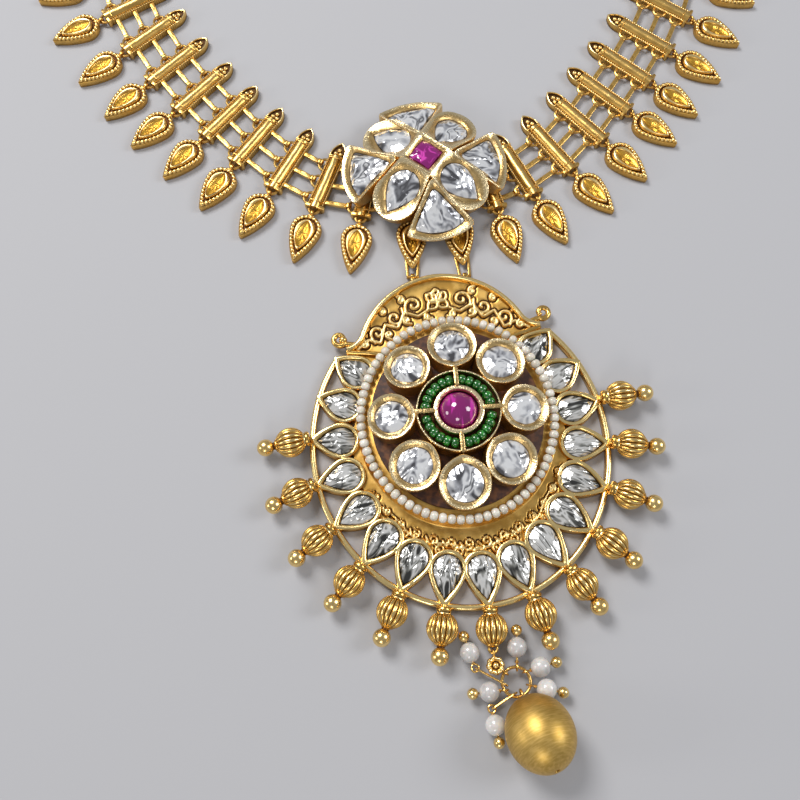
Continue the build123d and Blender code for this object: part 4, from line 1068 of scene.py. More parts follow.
@dataclass
class LeafDrops:
    """The leaves under the bars: a rope border round a raised almond with a hollow."""

    neck: float = 1.95
    length: float = 11.75
    radius: float = 3.4
    wall_height: float = 1.55
    rope: float = 0.48
    rope_pitch: float = 0.92
    almond_inset: float = 1.15
    almond_top: float = 2.5
    lens_half: float = 1.3
    lens_inset: float = 0.36
    lens_middle: float = 1.2
    ridge_pitch: float = 0.42
    hollow_back: float = 0.95
    rays: int = 84
    rope_steps: int = 168
    rope_sides: int = 9
    eye_half_width: float = 0.3
    swings: tuple[int, ...] = (0, -3, 1, 3, -1, 2, -2, 0)

    def rope_border(self, cap: Array) -> Shell:
        """Two twisted strands along the outline.

        The radius at length s and angle a is r (0.62 + 0.4 |cos(pi s / pitch - a / 2)|^0.8).
        """
        inner = self.radius - self.rope
        reach = (self.length - self.radius) * inner / self.radius
        path = evenly(leaf(inner, reach), self.rope_steps)
        ridges = round(np.linalg.norm(path - np.roll(path, 1, 0), axis=1).sum() / self.rope_pitch)
        s = (np.arange(len(path)) / len(path))[:, None]
        a = (np.arange(self.rope_sides) / self.rope_sides * TAU)[None]
        lobe = np.abs(np.cos(math.pi * ridges * s - a / 2)) ** 0.8
        size = self.rope * (0.62 + 0.40 * lobe)
        profile = np.stack([size * np.cos(a), size * np.sin(a)], axis=-1)
        grid = swept(flat(path, self.wall_height + 0.08), profile, loop=True)
        # Painted shade between the strands and on the rope's underside; the upper side is lighter, as if lit from
        # above.
        relief = (0.02 + 0.98 * lobe) * np.clip(0.55 + 0.6 * np.sin(a), 0.1, 1)
        return woven(grid, relief, loop=True).at(cap)

    def outlines(self) -> tuple[Array, Array, Array]:
        """The wall's, the almond's and the hollow's outlines, read along the same rays.

        The hollow is a lens: two arcs that meet in a point at each end.
        """
        inner = self.radius - self.almond_inset
        reach = (self.length - self.radius) * inner / self.radius
        top, foot = inner - self.lens_inset, reach - 2.2 * self.lens_inset
        right = arc_through((0, foot), (self.lens_half, 0.4 * (foot - top)), (0, -top), 33)
        hollow = np.concatenate([right, right[-2:0:-1] * [-1, 1]]) + [0, 0.25]
        shapes = (leaf(self.radius, self.length - self.radius), leaf(inner, reach, 20) + [0, 0.25], hollow)
        angles = (np.arange(self.rays) + 0.5) / self.rays * TAU
        return tuple(by_angle(shape, (0, self.lens_middle), angles) for shape in shapes)

    def body(self, floor: float) -> Shell:
        """The wall, the channel and the almond's lips, as outlines from the foot to the hollow."""
        outer, almond, hollow = self.outlines()
        middle = np.array([0, self.lens_middle])
        top, low = self.almond_top, self.wall_height
        near = lambda share: middle + (outer - middle) * share
        lip = lambda share: almond + (hollow - almond) * share
        # The tones paint shade in the channel and down into the hollow, and a highlight on the almond's lips.
        rows = [(near(0.97), floor, 0.3), (near(1.0), floor + 0.15, 0.35), (near(1.0), low - 0.2, 0.4),
                (near(0.95), low, 0.3), (near(0.74), low, 0.0), (lip(-0.05), low, 0.0),
                (lip(0.0), low + 0.3, 0.3), (lip(0.12), top - 0.25, 0.65), (lip(0.35), top - 0.03, 0.95),
                (lip(0.55), top, 1.0), (lip(0.8), top - 0.1, 0.85), (lip(1.0), top - 0.32, 0.35),
                (lip(1.06), top - 1.2, 0.0)]
        return layered(rows)

    def lens(self) -> Shell:
        """The hollow's floor, which sinks towards the middle and is ridged across."""
        hollow = self.outlines()[2]
        middle = np.array([0, self.lens_middle])
        shares = np.array([1.04, 1.0, 0.9, 0.75, 0.6, 0.45, 0.3, 0.15, 0.04])
        depth = np.array([1.0, 0.42, 0.55, 0.66, 0.74, 0.8, 0.84, 0.86, 0.86])
        grid = middle + (hollow - middle) * shares[:, None, None]
        ridges = np.sin(grid[..., 1] * TAU / self.ridge_pitch + 2.5 * np.abs(grid[..., 0]))
        height = self.almond_top - depth[:, None] + 0.05 * ridges * (shares < 1)[:, None]
        # Painted highlight on the ridges and painted shade in the furrows, darker along the middle line.
        relief = np.clip(0.45 + 0.3 * ridges + 0.25 * np.abs(grid[..., 0]), 0, 1)
        return woven(flat(grid, height), relief)

    def hanger(self, ring: float) -> Shell:
        """The eye on its ring, and a short neck with a collar."""
        eye = sleeve(BAR.eye_hole, BAR.eye_radius, self.eye_half_width)
        eye = eye.at(place(0, -ring, BAR.link_height) @ tipped("y", 90))
        reach = self.neck - ring + 0.3
        strap = pillow(0.62, reach, 0.7, 0.3).at(place(0, -ring - 0.3 - reach / 2, 1.15))
        collar = pillow(1.7, 0.5, 1.1, 0.5).at(place(0, -self.neck - 0.05, 1.25))
        return joined([eye, strap, collar])

    def drops(self, indexes: Sequence[int], lenses: bool) -> Shell:
        """The leaves of a run of bars.

        Args:
            indexes: the bars.
            lenses: the hollows alone, or all but the hollows.

        Returns:
            The leaves in place.
        """
        cap = place(0, -(self.neck + self.radius)) @ place(0, 0, 0, 180)
        middle = (BAND.half - 1, BAND.half)
        near = (middle[0] - 1, middle[1] + 1, *middle)
        parts = []
        for raised in (False, True):
            which = [i for i in indexes if (i in middle) == raised]
            if not which:
                continue
            spots = []
            for i in which:
                swing = 0 if i in near else self.swings[i % len(self.swings)]
                spots.append(place(*BAND.on_bar(i, 0, BAR.foot), 0, BAND.places[i][2] + swing))
            if lenses:
                one = self.lens().at(cap)
            else:
                ring = BAR.bail_ring if raised else BAR.drop_ring
                floor = self.hollow_back if raised else 0.0
                one = joined([self.rope_border(cap), self.body(floor).at(cap), self.hanger(ring)])
            parts.append(one.copies(spots))
        return joined(parts)

    def build(self) -> None:
        """Makes the leaves of both sides, and their hollows as pieces of their own."""
        half = BAND.half
        for side, run in (("left", range(half)), ("right", range(half, 2 * half))):
            piece(f"leaves_{side}", self.drops(run, False), Finish.LEAF, [f"leaf_drops_{side}"],
                  55)
            piece(f"leaf_lenses_{side}", self.drops(run, True), Finish.LENS)


@dataclass
class BackChain:
    """Oval links and the hook behind the neck."""

    height: float = 1.55
    link_length: float = 6.0
    link_width: float = 4.0
    link_wire: float = 0.4
    links: int = 17
    hook_radius: float = 2.4
    hook_wire: float = 0.5
    end_ring_slack: float = 1.05
    hook_slack: float = 1.4

    def link(self) -> Shell:
        """One oval link, with a faint swelling where its wire is soldered."""
        path = stadium(self.link_length - self.link_width, self.link_width / 2 - self.link_wire, 12)
        t = np.arange(len(path)) / len(path)
        size = self.link_wire * (0.97 + 0.03 * np.exp(-((t - 0.25) / 0.02) ** 2))
        return wire(flat(path), size, 12, loop=True)

    def places(self, side: int) -> list[Array]:
        """The links' places, in turn leaning left and right."""
        grip = self.link_length / 2 - self.link_wire
        last = BAND.start_angle + BAND.rear_bars * math.degrees(BAND.bar_pitch / BAND.arc_radius)
        reach = BAR.width / 2 + BAR.end_ring - self.end_ring_slack + grip
        start = last + math.degrees(reach / BAND.arc_radius)
        end = 90 - math.degrees((2 * self.hook_radius - self.hook_slack + grip) / BAND.arc_radius)
        made = []
        for i, angle in enumerate(np.linspace(start, end, self.links)):
            x, y = flat_turn((BAND.arc_radius, 0), angle)
            level = angle + 90 if side > 0 else 90 - angle
            at = place(BAND.middle_x + side * x, BAND.arc_middle_y + y, self.height, level)
            made.append(at @ tipped("x", 45 if i % 2 == 0 else -45))
        return made

    def build(self) -> None:
        """Makes both chains and the hook."""
        for side, name in ((-1, "left"), (1, "right")):
            piece(f"chain_{name}", self.link().copies(self.places(side)), Finish.WIRE,
                  [f"back_chain_{name}"])
        t = np.radians(np.linspace(60, 360, 48))
        u = np.radians(np.linspace(180, -120, 48))[1:]
        r = self.hook_radius
        path = np.concatenate([np.stack([-r + r * np.cos(t), r * np.sin(t)], axis=1),
                               np.stack([r + r * np.cos(u), r * np.sin(u)], axis=1)])
        hook = wire(flat(path), self.hook_wire, 14)
        spot = place(BAND.middle_x, BAND.arc_middle_y + BAND.arc_radius, self.height)
        piece("hook", hook.at(spot), Finish.WIRE, ["clasp_hook"])


def stadium(straight: float, radius: float, count: int) -> Array:
    """Points round two half circles joined by straight runs along X."""
    t = np.linspace(-0.5, 0.5, count + 1) * math.pi
    half = np.stack([straight / 2 + radius * np.cos(t), radius * np.sin(t)], axis=1)
    return evenly(np.concatenate([half, -half]), 4 * count)


# Cluster on the collar.


def bezel(outer: Array, seat: Array, middle: Sequence[float], floor: float | Callable[[Array], Array],
          depth: float, seed: int) -> Shell:
    """A stone's bezel: a wall, a broad lip that slopes inwards, and the seat's floor.

    Both outlines are read along the same rays from the middle. Height and width change a
    little round the bezel, as in hand work.

    Args:
        outer: the block's outline.
        seat: the stone's outline.
        middle: a point inside both.
        floor: local height of the wall's foot, or a function that gives it along the outline.
        depth: of the seat below the rim.
        seed: of the unevenness.

    Returns:
        The bezel in its own frame.
    """
    angles = np.arange(BEZEL_RAYS) / BEZEL_RAYS * TAU - math.pi
    out, into = by_angle(outer, middle, angles), by_angle(seat, middle, angles)
    width = np.linalg.norm(out - into, axis=1)[:, None]
    inwards = (into - out) / np.maximum(width, 1e-6)
    swell, sag = wobble(BEZEL_RAYS, seed), wobble(BEZEL_RAYS, seed + 50, 9)
    edge = np.minimum(0.18, 0.3 * width)
    level = lambda base, share: base + share * (0.10 * swell + 0.06 * sag) - 0.02
    foot = floor(out) if callable(floor) else np.full(BEZEL_RAYS, float(floor))
    # The tones paint a highlight on the lip's top and shade down the inner slope and on the seat's floor.
    rows = [
        (out, foot, 0.35),
        (out, foot * 0.45 + 0.55 * -0.5, 0.45),
        (out, level(-0.38, 1.0), 0.62),
        (out + inwards * edge * 0.35, level(-0.10, 1.0), 0.95),
        (out + inwards * edge, level(0.0, 1.0), 1.0),
        (out + inwards * width * 0.38, level(-0.10, 1.0), 0.85),
        (out + inwards * width * 0.68, level(-0.34, 0.8), 0.62),
        (into - inwards * (0.14 + 0.07 * sag[:, None]), level(-0.62, 0.6), 0.42),
        (into, level(-0.84, 0.3), 0.22),
        (into + inwards * 0.03, np.full(BEZEL_RAYS, -1.0), 0.0),
        (into + inwards * 0.05, np.full(BEZEL_RAYS, -depth), 0.0),
    ]
    return layered(rows)


def foil_stone(outline: Array, middle: Sequence[float], base: float, crown: float, seed: int,
               facets: int = 9, table: float = 0.55) -> Shell:
    """A hand-cut stone: the lowest of a table and a ring of sloping facets.

    The height at p is the least of the table and, for each facet k, c (d_k - n_k . p) / d_k.

    Args:
        outline: the stone's girdle.
        middle: of the stone.
        base: height of the girdle.
        crown: height of the stone over the girdle.
        seed: of the facets' directions.
        facets: how many slope down from the table.
        table: the table's share of the stone.

    Returns:
        The stone, with its own x, y and number as its chart.
    """
    rng = np.random.default_rng(seed)
    centre = np.asarray(middle, float)
    shares = np.concatenate([[1.0, 1.0], np.linspace(0.97, 0.04, 12)])
    grid = centre + (outline - centre)[None] * shares[:, None, None]
    theta = (np.arange(facets) + rng.uniform(-0.22, 0.22, facets)) / facets * TAU + rng.uniform(0, 1)
    normals = np.stack([np.cos(theta), np.sin(theta)], axis=1)
    reach = ((outline - centre) @ normals.T).max(0) * rng.uniform(0.97, 1.12, facets)
    slope = (1 - ((grid - centre) @ normals.T) / reach) / (1 - table)
    lean = rng.normal(0, 0.10, 2)
    top = 1 + (grid - centre) @ lean / np.abs(outline - centre).max()
    height = np.minimum(slope.min(-1), top)
    height = base + crown * np.clip(height, 0.0, 1.2)
    height[0] = base - 0.6
    height[1] = base
    height[2:] += 0.03 * ripple(grid[2:], 1.3, seed)
    return woven(flat(grid, height), 0.8, number=7.0 * (seed % 97))


def fan(half_width: float, inner: float, shoulder: float, outer: float) -> Array:
    """A three-sided stone's outline: one corner on -Y and an arc as its far edge."""
    arc = arc_through((half_width, shoulder), (0, outer), (-half_width, shoulder), 9)
    return softened(np.concatenate([[(0, -inner)], arc]), 1.5)


def shield(inner_half: float, half_width: float, inner: float, outer: float) -> Array:
    """A straight inner edge, two sides that widen and a round outer end."""
    arc = arc_through((half_width, 0), (0, outer), (-half_width, 0), 15)
    blunt = np.concatenate([[(inner_half, -inner), (half_width, 0)], arc[1:-1], [(-half_width, 0),
                                                                                (-inner_half, -inner)]])
    return softened(blunt, 0.5, 2)


@dataclass
class Cluster:
    """A square stone, four pears and four fans on a dome over the middle bars."""

    middle: tuple[float, float] = (-2.1, 61.85)
    turn: float = 5.0
    floor: float = 2.85
    top: float = 10.2
    slope: float = 22.0
    square_side: float = 7.6
    square_stone: float = 5.2
    shield_distance: float = 9.3
    fans: tuple[tuple[str, float, float], ...] = (
        # name, angle, distance
        ("right", -3, 12.2), ("upper", 93, 11.3), ("left", 177, 12.4), ("lower", 273, 12.0),
    )
    fan_sizes: tuple[float, ...] = (7.7, 7.2, 4.3, 6.6)
    fan_seat: tuple[float, ...] = (5.7, 5.0, 3.3, 5.0)
    shield_sizes: tuple[float, ...] = (3.8, 4.9, 6.2, 7.0)
    pear_radius: float = 3.55
    pear_reach: float = 6.4
    pear_shift: float = -1.0
    flipped_shift: float = 1.1
    depth: float = 1.5

    def dome(self, distance: float) -> float:
        """Height of the rims at a distance from the middle."""
        return self.top - 0.3 - (distance - self.square_side / 2) * math.sin(math.radians(self.slope))

    def foot(self, at: Array) -> Callable[[Array], Array]:
        """A function that gives the local height where a wall meets the cluster's floor."""
        def height(outline: Array) -> Array:
            return (self.floor - at[2, 3] - outline @ at[2, :2]) / at[2, 2]
        return height

    def build(self) -> None:
        """Makes the bezels with the middle bars, and the nine stones."""
        bezels, stones = [], []
        fan_seat = fan(*self.fan_seat)
        for k, (_, angle, distance) in enumerate(self.fans):
            at = petal_place(self.middle, distance, angle, self.dome(distance), self.slope + 2, self.turn)
            bezels.append(bezel(fan(*self.fan_sizes), fan_seat, (0, 0.9), self.foot(at), self.depth,
                                11 + k).at(at))
            stones.append(foil_stone(evenly(fan_seat, 72) * 0.99, (0, 0.9), -0.95, 0.75, 31 + k, 7).at(at))
        for k, angle in enumerate((45, 135, 225, 315)):
            at = petal_place(self.middle, self.shield_distance, angle, self.dome(self.shield_distance),
                             self.slope, self.turn)
            pear = leaf(self.pear_radius, self.pear_reach)
            seat = pear + [0, self.pear_shift] if k else [0, self.flipped_shift] - pear
            middle = (0, 0) if k else (0, 0.3)
            bezels.append(bezel(shield(*self.shield_sizes), seat, middle, self.foot(at), self.depth,
                                21 + k).at(at))
            stones.append(foil_stone(seat * 0.985, middle, -0.95, 0.75, 41 + k, 8).at(at))
        at = place(*self.middle, self.top, self.turn + 45)
        half, seat = self.square_side / 2, self.square_stone / 2
        corners = np.array([(1, -1), (1, 1), (-1, 1), (-1, -1)])
        bezels.append(bezel(softened(half * corners, 0.35), softened(seat * corners, 0.15), (0, 0),
                            self.floor - self.top, self.depth, 30).at(at))
        bars = BAR.run((BAND.half - 1, BAND.half))
        posts = [m @ place(0, -1.5, 2.4) for m in BAND.matrices((BAND.half - 1, BAND.half))]
        # The props get a low relief value: painted shade under the cluster.
        props = pillow(2.0, 8.0, 2.0, 0.2, relief=0.2).copies(posts)
        piece("cluster_bezels", joined(bezels), Finish.RIM)
        piece("cluster_bars", joined([bars, props]), Finish.BAR, ["cluster_setting"])
        names = [f"fan_stone_{name}" for name, *_ in self.fans]
        names += [f"pear_stone_{n}" for n in ("upper_right", "upper_left", "lower_left", "lower_right")]
        piece("cluster_stones", joined(stones), Finish.CLUSTER_FOIL, names, 12)
        square = foil_stone(evenly(softened(seat * corners, 0.3), 64), (0, 0), -0.9, 0.7, 51, 8)
        piece("square_gem", square.at(at), Finish.PINK, ["square_stone"], 12)


# Pendant.


@dataclass
class Pendant:
    """The pendant's plate: outer ring, pointed frames, drum and crown."""

    turn: float = 4.2
    half_width: float = 30.0
    stretch: float = 1.095
    places: int = 22
    frames: int = 17
    wire_width: float = 1.2
    wire_height: float = 1.9
    frame_radius: float = 3.75
    side_reach: float = 6.5
    lower_reach: float = 7.5
    frame_wall: float = 0.95
    frame_height: float = 2.3
    frame_floor: float = 0.8
    base_height: float = 1.3
    base_half_width: float = 21.4
    oval: float = 1.078
    flower_rise: float = 4.5
    drum_foot: float = 20.1
    drum_shoulder: float = 18.4
    drum_height: float = 3.6
    crown_shift: float = 0.3
    crown_field: float = 1.6
    melon_first: int = 2
    melon_tilts: tuple[float, ...] = (13.4, 11.1, 6.3, 1.1, -0.3, 0.7, -6.0, -5.1, -3.2, -4.4, -2.5,
                                      -5.3, -10.7)
    melon_height: float = 3.05

    @property
    def spread(self) -> Array:
        """The frames' angles from the lowest one, in degrees."""
        return 360 / self.places * (np.arange(self.frames) - (self.frames - 1) / 2)

    def here(self, x: float = 0, y: float = 0, z: float = 0, turn: float = 0) -> Array:
        """A place in the pendant's own frame."""
        return place(0, 0, 0, self.turn) @ place(x, y, z, turn)

    def ring_point(self, angle: float | Array, share: float = 1.0) -> Array:
        """A point of the outer oval: (w cos a, k w sin a)."""
        a = np.radians(angle)
        w = share * self.half_width
        return np.stack([w * np.cos(a), self.stretch * w * np.sin(a)], axis=-1)

    def frame_places(self) -> list[tuple[Array, float]]:
        """Each frame's place, with +Y outwards, and its reach."""
        made = []
        for spread in self.spread:
            reach = self.side_reach + (self.lower_reach - self.side_reach) * math.cos(math.radians(spread))
            x, y = self.ring_point(spread - 90)
            length = math.hypot(x, y)
            keep = (length - reach) / length
            turn = math.degrees(math.atan2(y, x)) - 90
            made.append((self.here(x * keep, y * keep, 0, turn), reach))
        return made

    def melon_places(self) -> list[Array]:
        """Places of the melon drops: at a frame's tip, with +X along the pin."""
        made = []
        for k, spread in enumerate(self.spread[self.melon_first:self.frames - self.melon_first]):
            x, y = self.ring_point(spread - 90)
            turn = math.degrees(math.atan2(y, x)) + self.melon_tilts[k]
            made.append(self.here(x, y, self.melon_height, turn))
        return made

    def outer_ring(self) -> Shell:
        """The ring: a domed strip along the outer oval, from the first frame to the last."""
        angles = np.linspace(self.spread[0], self.spread[-1], 181) - 90
        path = flat(self.ring_point(angles, 1 - 0.5 * self.wire_width / self.half_width))
        half, top = self.wire_width / 2, self.wire_height
        corners = [(-half, 0), (half, 0), (half, top - 0.3), (0.2, top), (-0.2, top), (-half, top - 0.3)]
        profile = softened(corners, 0.25)
        # Painted light: lighter towards the top of the profile, darker towards its foot.
        tone = np.clip(profile[:, 1] / top * 1.15 - 0.1, 0.2, 1.0)
        grid = swept(path, profile)
        return woven(grid, np.broadcast_to(tone, grid.shape[:2])).at(self.here())

    def frame_bezels(self) -> Shell:
        """The pointed frames: a thin raised lip round each stone."""
        parts = []
        for k, (at, reach) in enumerate(self.frame_places()):
            seat = self.frame_radius - self.frame_wall
            outer = leaf(self.frame_radius, reach, count=16)
            inner = leaf(seat, reach * seat / self.frame_radius, count=16)
            h, sway = self.frame_height, 0.05 * wobble(len(outer), 300 + k)
            mix = lambda share: outer + (inner - outer) * share
            # The tones paint a highlight on the lip's top and shade down into the seat.
            rows = [(mix(0), 0.05, 0.3), (mix(0), h - 0.35, 0.55), (mix(0.12), h - 0.10, 0.9),
                    (mix(0.35), h + sway, 1.0), (mix(0.62), h - 0.02 + sway, 1.0), (mix(0.85), h - 0.2, 0.7),
                    (mix(0.98), h - 0.55, 0.15), (mix(1.0), self.frame_floor, 0.0)]
            parts.append(layered(rows).at(at))
        return joined(parts)

    def frame_stones(self) -> Shell:
        """The frames' stones, with ridges that run to the point."""
        parts = []
        for k, (at, reach) in enumerate(self.frame_places()):
            seat = self.frame_radius - self.frame_wall - 0.06
            outline = leaf(seat, reach * seat / self.frame_radius, count=18)
            stone = foil_stone(outline, (0, 0.6), self.frame_height - 0.75, 0.75, 500 + k, 10, 0.42)
            parts.append(stone.at(at))
        return joined(parts)


PENDANT = Pendant()


def curl(size: float, turns: float = 1.35, count: int = 40) -> Array:
    """A chased curl: a tail that bends into a spiral. The radius falls from size to 0.25 size."""
    t = np.linspace(0, 1, count)
    angle = -math.pi * 0.2 + turns * TAU * t
    radius = size * (1 - 0.78 * t ** 0.8)
    spiral = radius[:, None] * np.stack([np.cos(angle), np.sin(angle)], axis=1)
    tail_angle = angle[0] - np.linspace(0.55, 0, 8)
    tail = size * (1 + np.linspace(0.45, 0, 8) ** 1.5)[:, None] * np.stack(
        [np.cos(tail_angle), np.sin(tail_angle)], axis=1)
    return np.concatenate([tail[:-1], spiral])


def placed(line: Array, x: float, y: float, turn: float, flip: bool = False) -> Array:
    """A flat line mirrored if asked, turned and moved."""
    points = line * [-1, 1] if flip else line
    c, s = math.cos(math.radians(turn)), math.sin(math.radians(turn))
    return points @ np.array([[c, s], [-s, c]]) + [x, y]


def chased(points: Array, lines: Sequence[Array], width: float) -> tuple[Array, Array]:
    """Relief along chased lines: a raised cord with a cut line on each side.

    With d the distance to the nearest line, the height is the cord's round top where d is
    under half the width, and a narrow trough just outside it.

    Args:
        points: flat points, (..., 2).
        lines: the chased lines, each (size, 2).
        width: of the raised cord.

    Returns:
        The height between -1 and 1, and the relief value at each point: a painted highlight on the cord and painted
        shade in the cut lines.
    """
    near = np.full(points.shape[:-1], 1e9)
    for line in lines:
        run = evenly(line, max(12, 2 * len(line)), loop=False)
        squares = ((points[..., None, :] - run) ** 2).sum(-1)
        near = np.minimum(near, squares.min(-1))
    d = np.sqrt(near) / (width / 2)
    cord = np.sqrt(np.clip(1 - d ** 2, 0, 1))
    trough = np.exp(-((d - 1.45) / 0.42) ** 2)
    # The cord's top gets a painted highlight and the trough beside it painted shade.
    return cord - 0.45 * trough, np.clip(0.52 + 0.45 * cord - 0.75 * trough, 0, 1)


@dataclass
class Plate:
    """The drum, its chased crescent, and the crown over the flower."""

    scroll_rise: float = 0.42
    crown_foot: tuple[float, float] = (20.2, 22.6)
    crown_flare: tuple[float, float] = (18.0, 23.4)
    crown_shoulder: tuple[float, float] = (16.5, 25.3)
    crown_arch: tuple[float, float] = (9.4, 33.5)
    crown_apex: float = 36.4
    crown_base: float = 19.6
    rim_width: float = 1.3
    rim_height: float = 3.3
    volute: tuple[float, float] = (21.4, 25.3)

    def crescent_lines(self) -> list[Array]:
        """Curls in turn up and down a wavy stem round the drum's foot."""
        p = PENDANT
        lines = []
        angles = np.radians(np.linspace(-158, -22, 200))
        sway = 20.35 + 0.55 * np.sin(angles * 11)
        stem = sway[:, None] * np.stack([np.cos(angles), p.oval * np.sin(angles)], axis=1)
        lines.append(stem + [0, 0.9])
        for k, a in enumerate(np.linspace(-156, -24, 27)):
            deep = math.sin(math.radians(-a)) ** 2
            size = 0.70 + 0.55 * deep
            r = 20.2 + (0.85 if k % 2 else -0.75) * (0.5 + 0.5 * deep)
            x, y = r * math.cos(math.radians(a)), r * p.oval * math.sin(math.radians(a))
            lines.append(placed(curl(size), x, y + 0.9 * deep, a + (150 if k % 2 else -30), k % 2 == 1))
        return lines

    def drum(self) -> Shell:
        """The base plate and the drum, with the chased crescent below the flower."""
        p = PENDANT
        count = 720
        base = oval(p.base_half_width, p.base_half_width * p.oval, count)
        rise = np.array([0, p.flower_rise])
        foot = oval(p.drum_foot, p.drum_foot * p.oval, count) + rise
        shoulder = oval(p.drum_shoulder, p.drum_shoulder * p.oval, count) + rise
        inside = (foot - base * 0.995)
        shares = np.linspace(0, 1, 20)
        ramp = np.linspace(0, 1, 12)[1:]
        outlines = [base, base] + [base * 0.995 + inside * s for s in shares]
        outlines += [foot + (shoulder - foot) * s for s in ramp] + [shoulder * 0.9 + rise * 0.1]
        heights = [0.05, p.base_height - 0.1] + [p.base_height] * len(shares)
        heights += [p.base_height + (p.drum_height - p.base_height) * s for s in ramp] + [p.drum_height]
        grid = np.stack([flat(o, z) for o, z in zip(outlines, heights)])
        rise_at, shade_and_highlight = chased(grid[2:-1, :, :2], self.crescent_lines(), 0.50)
        fade = np.concatenate([np.ones(len(shares) + 8), np.linspace(1, 0, len(ramp) - 8)])[:, None]
        grid[2:-1, :, 2] += self.scroll_rise * rise_at * fade
        # The chased relief paints highlights on the cords and shade in the cuts.
        relief = np.full(grid.shape[:2], 0.4)
        relief[2:-1] = shade_and_highlight
        return woven(grid, relief).at(p.here())

    def crown_path(self, count: int = 60) -> Array:
        """The crown's outline from its left foot over the apex to its right foot."""
        flare = arc_through(self.crown_foot, self.crown_flare, self.crown_shoulder, 12)
        arch = arc_through(self.crown_shoulder, self.crown_arch, (0, self.crown_apex), count)
        right = np.concatenate([flare, arch[1:]])
        return evenly(np.concatenate([right[:-1] * [-1, 1], right[::-1]]), 2 * count + 21, loop=False)

    def crown_lines(self) -> list[Array]:
        """The crown's chasing: a four-lobed leaf in the middle and growing curls to each side."""
        lines = []
        t = np.linspace(0, 1, 24)
        for angle in (38, 142, 90, 218, 322):
            lobe = 1.9 * np.sin(math.pi * t) ** 0.7
            reach = 2.6 * t
            for side in (-1, 1):
                petal = np.stack([reach, side * 0.50 * lobe], axis=1)
                lines.append(placed(petal, 0, 31.2, angle))
        rows = [(5.1, 30.9, 1.9, 20), (9.4, 28.6, 1.95, 200), (13.3, 25.6, 1.7, 0), (16.4, 23.4, 0.85, 150),
                (7.6, 32.4, 0.85, 120), (11.8, 30.2, 0.85, 100), (15.6, 26.8, 0.6, 80),
                (6.9, 27.7, 0.9, -60), (11.0, 25.0, 0.9, -40), (2.6, 27.9, 0.8, -90)]
        for x, y, size, turn in rows:
            lines.append(placed(curl(size, 1.1), x, y, turn))
            lines.append(placed(curl(size, 1.1), -x, y, -turn, True))
        for side in (-1, 1):
            vine = np.array([(2.4, 29.3), (4.4, 28.2), (7.3, 29.6), (9.0, 26.2), (11.6, 27.4), (13.0, 23.4),
                             (15.4, 24.4), (18.0, 22.4)])
            lines.append(evenly(vine, 50, loop=False) * [side, 1])
        return lines

    def crown_shell(self) -> Shell:
        """The crown: a field that sinks from the rim, with chased lines, closed underneath."""
        p = PENDANT
        top = evenly(self.crown_path(), 300, loop=False)
        low = np.stack([top[:, 0], np.full(len(top), self.crown_base)], axis=1)
        shares = np.linspace(0, 1, 64)[:, None, None]
        grid = flat(top + (low - top) * shares)
        drop = np.linalg.norm(grid[..., :2] - top, axis=-1)
        lines = self.crown_lines()
        height, shade_and_highlight = chased(grid[..., :2], lines, 0.72)
        edge = 0.55 * np.exp(-drop / 1.5)
        grid[..., 2] = p.crown_field + edge + self.scroll_rise * height
        # Lighter near the rim, with painted shade in the three rows that meet the rim.
        shade_and_highlight = np.clip(shade_and_highlight + 0.25 * edge, 0, 1)
        shade_and_highlight[:3] = 0.1
        under = grid[[-1, 42, 21, 0]].copy()
        under[..., 2] = 0.05
        both = np.concatenate([grid, under])
        tones = np.concatenate([shade_and_highlight, np.full(under.shape[:2], 0.4)])
        shell = woven(both, tones, ring=False, loop=True, ends=False)
        return shell.at(p.here(p.crown_shift))

    def crown_trim(self) -> Shell:
        """The smooth rim, the lower line on each side, and the two volutes."""
        p = PENDANT
        path = self.crown_path()
        half, top = self.rim_width / 2, self.rim_height
        corners = [(-half, 0.05), (half, 0.05), (half, top - 0.75), (0.32, top - 0.08), (-0.32, top - 0.08),
                   (-half, top - 0.75)]
        profile = softened(corners, 0.45, 4)
        # Painted light: lighter towards the top of the profile, darker towards its foot.
        tone = np.clip(profile[:, 1] / top * 1.3 - 0.25, 0.25, 1.0)
        grid = swept(flat(path), profile)
        parts = [woven(grid, np.broadcast_to(tone, grid.shape[:2]))]
        for side in (-1, 1):
            ends = np.linspace((20.3, 22.2), (12.8, 20.6), 16) * [side, 1]
            parts.append(wire(flat(ends, 2.15), 0.5, 10))
            t = np.linspace(0, 1, 56)
            angle = np.radians(-128 + 330 * t)
            radius = 1.5 - 0.75 * t
            turns = np.stack([np.cos(angle), np.sin(angle)], axis=1)
            spiral = np.array(self.volute) + radius[:, None] * turns
            stem = np.linspace((17.3, 23.3), spiral[0], 12)[:-1]
            line = np.concatenate([stem, spiral]) * [side, 1]
            size = np.concatenate([np.full(len(stem), 0.62), 0.62 - 0.10 * t])
            parts.append(wire(flat(line, 1.9), size, 12))
            end = 0.85 if side < 0 else 0.55
            parts.append(ball(end).at(place(*line[-1], 1.95)))
        return joined(parts).at(p.here(p.crown_shift))

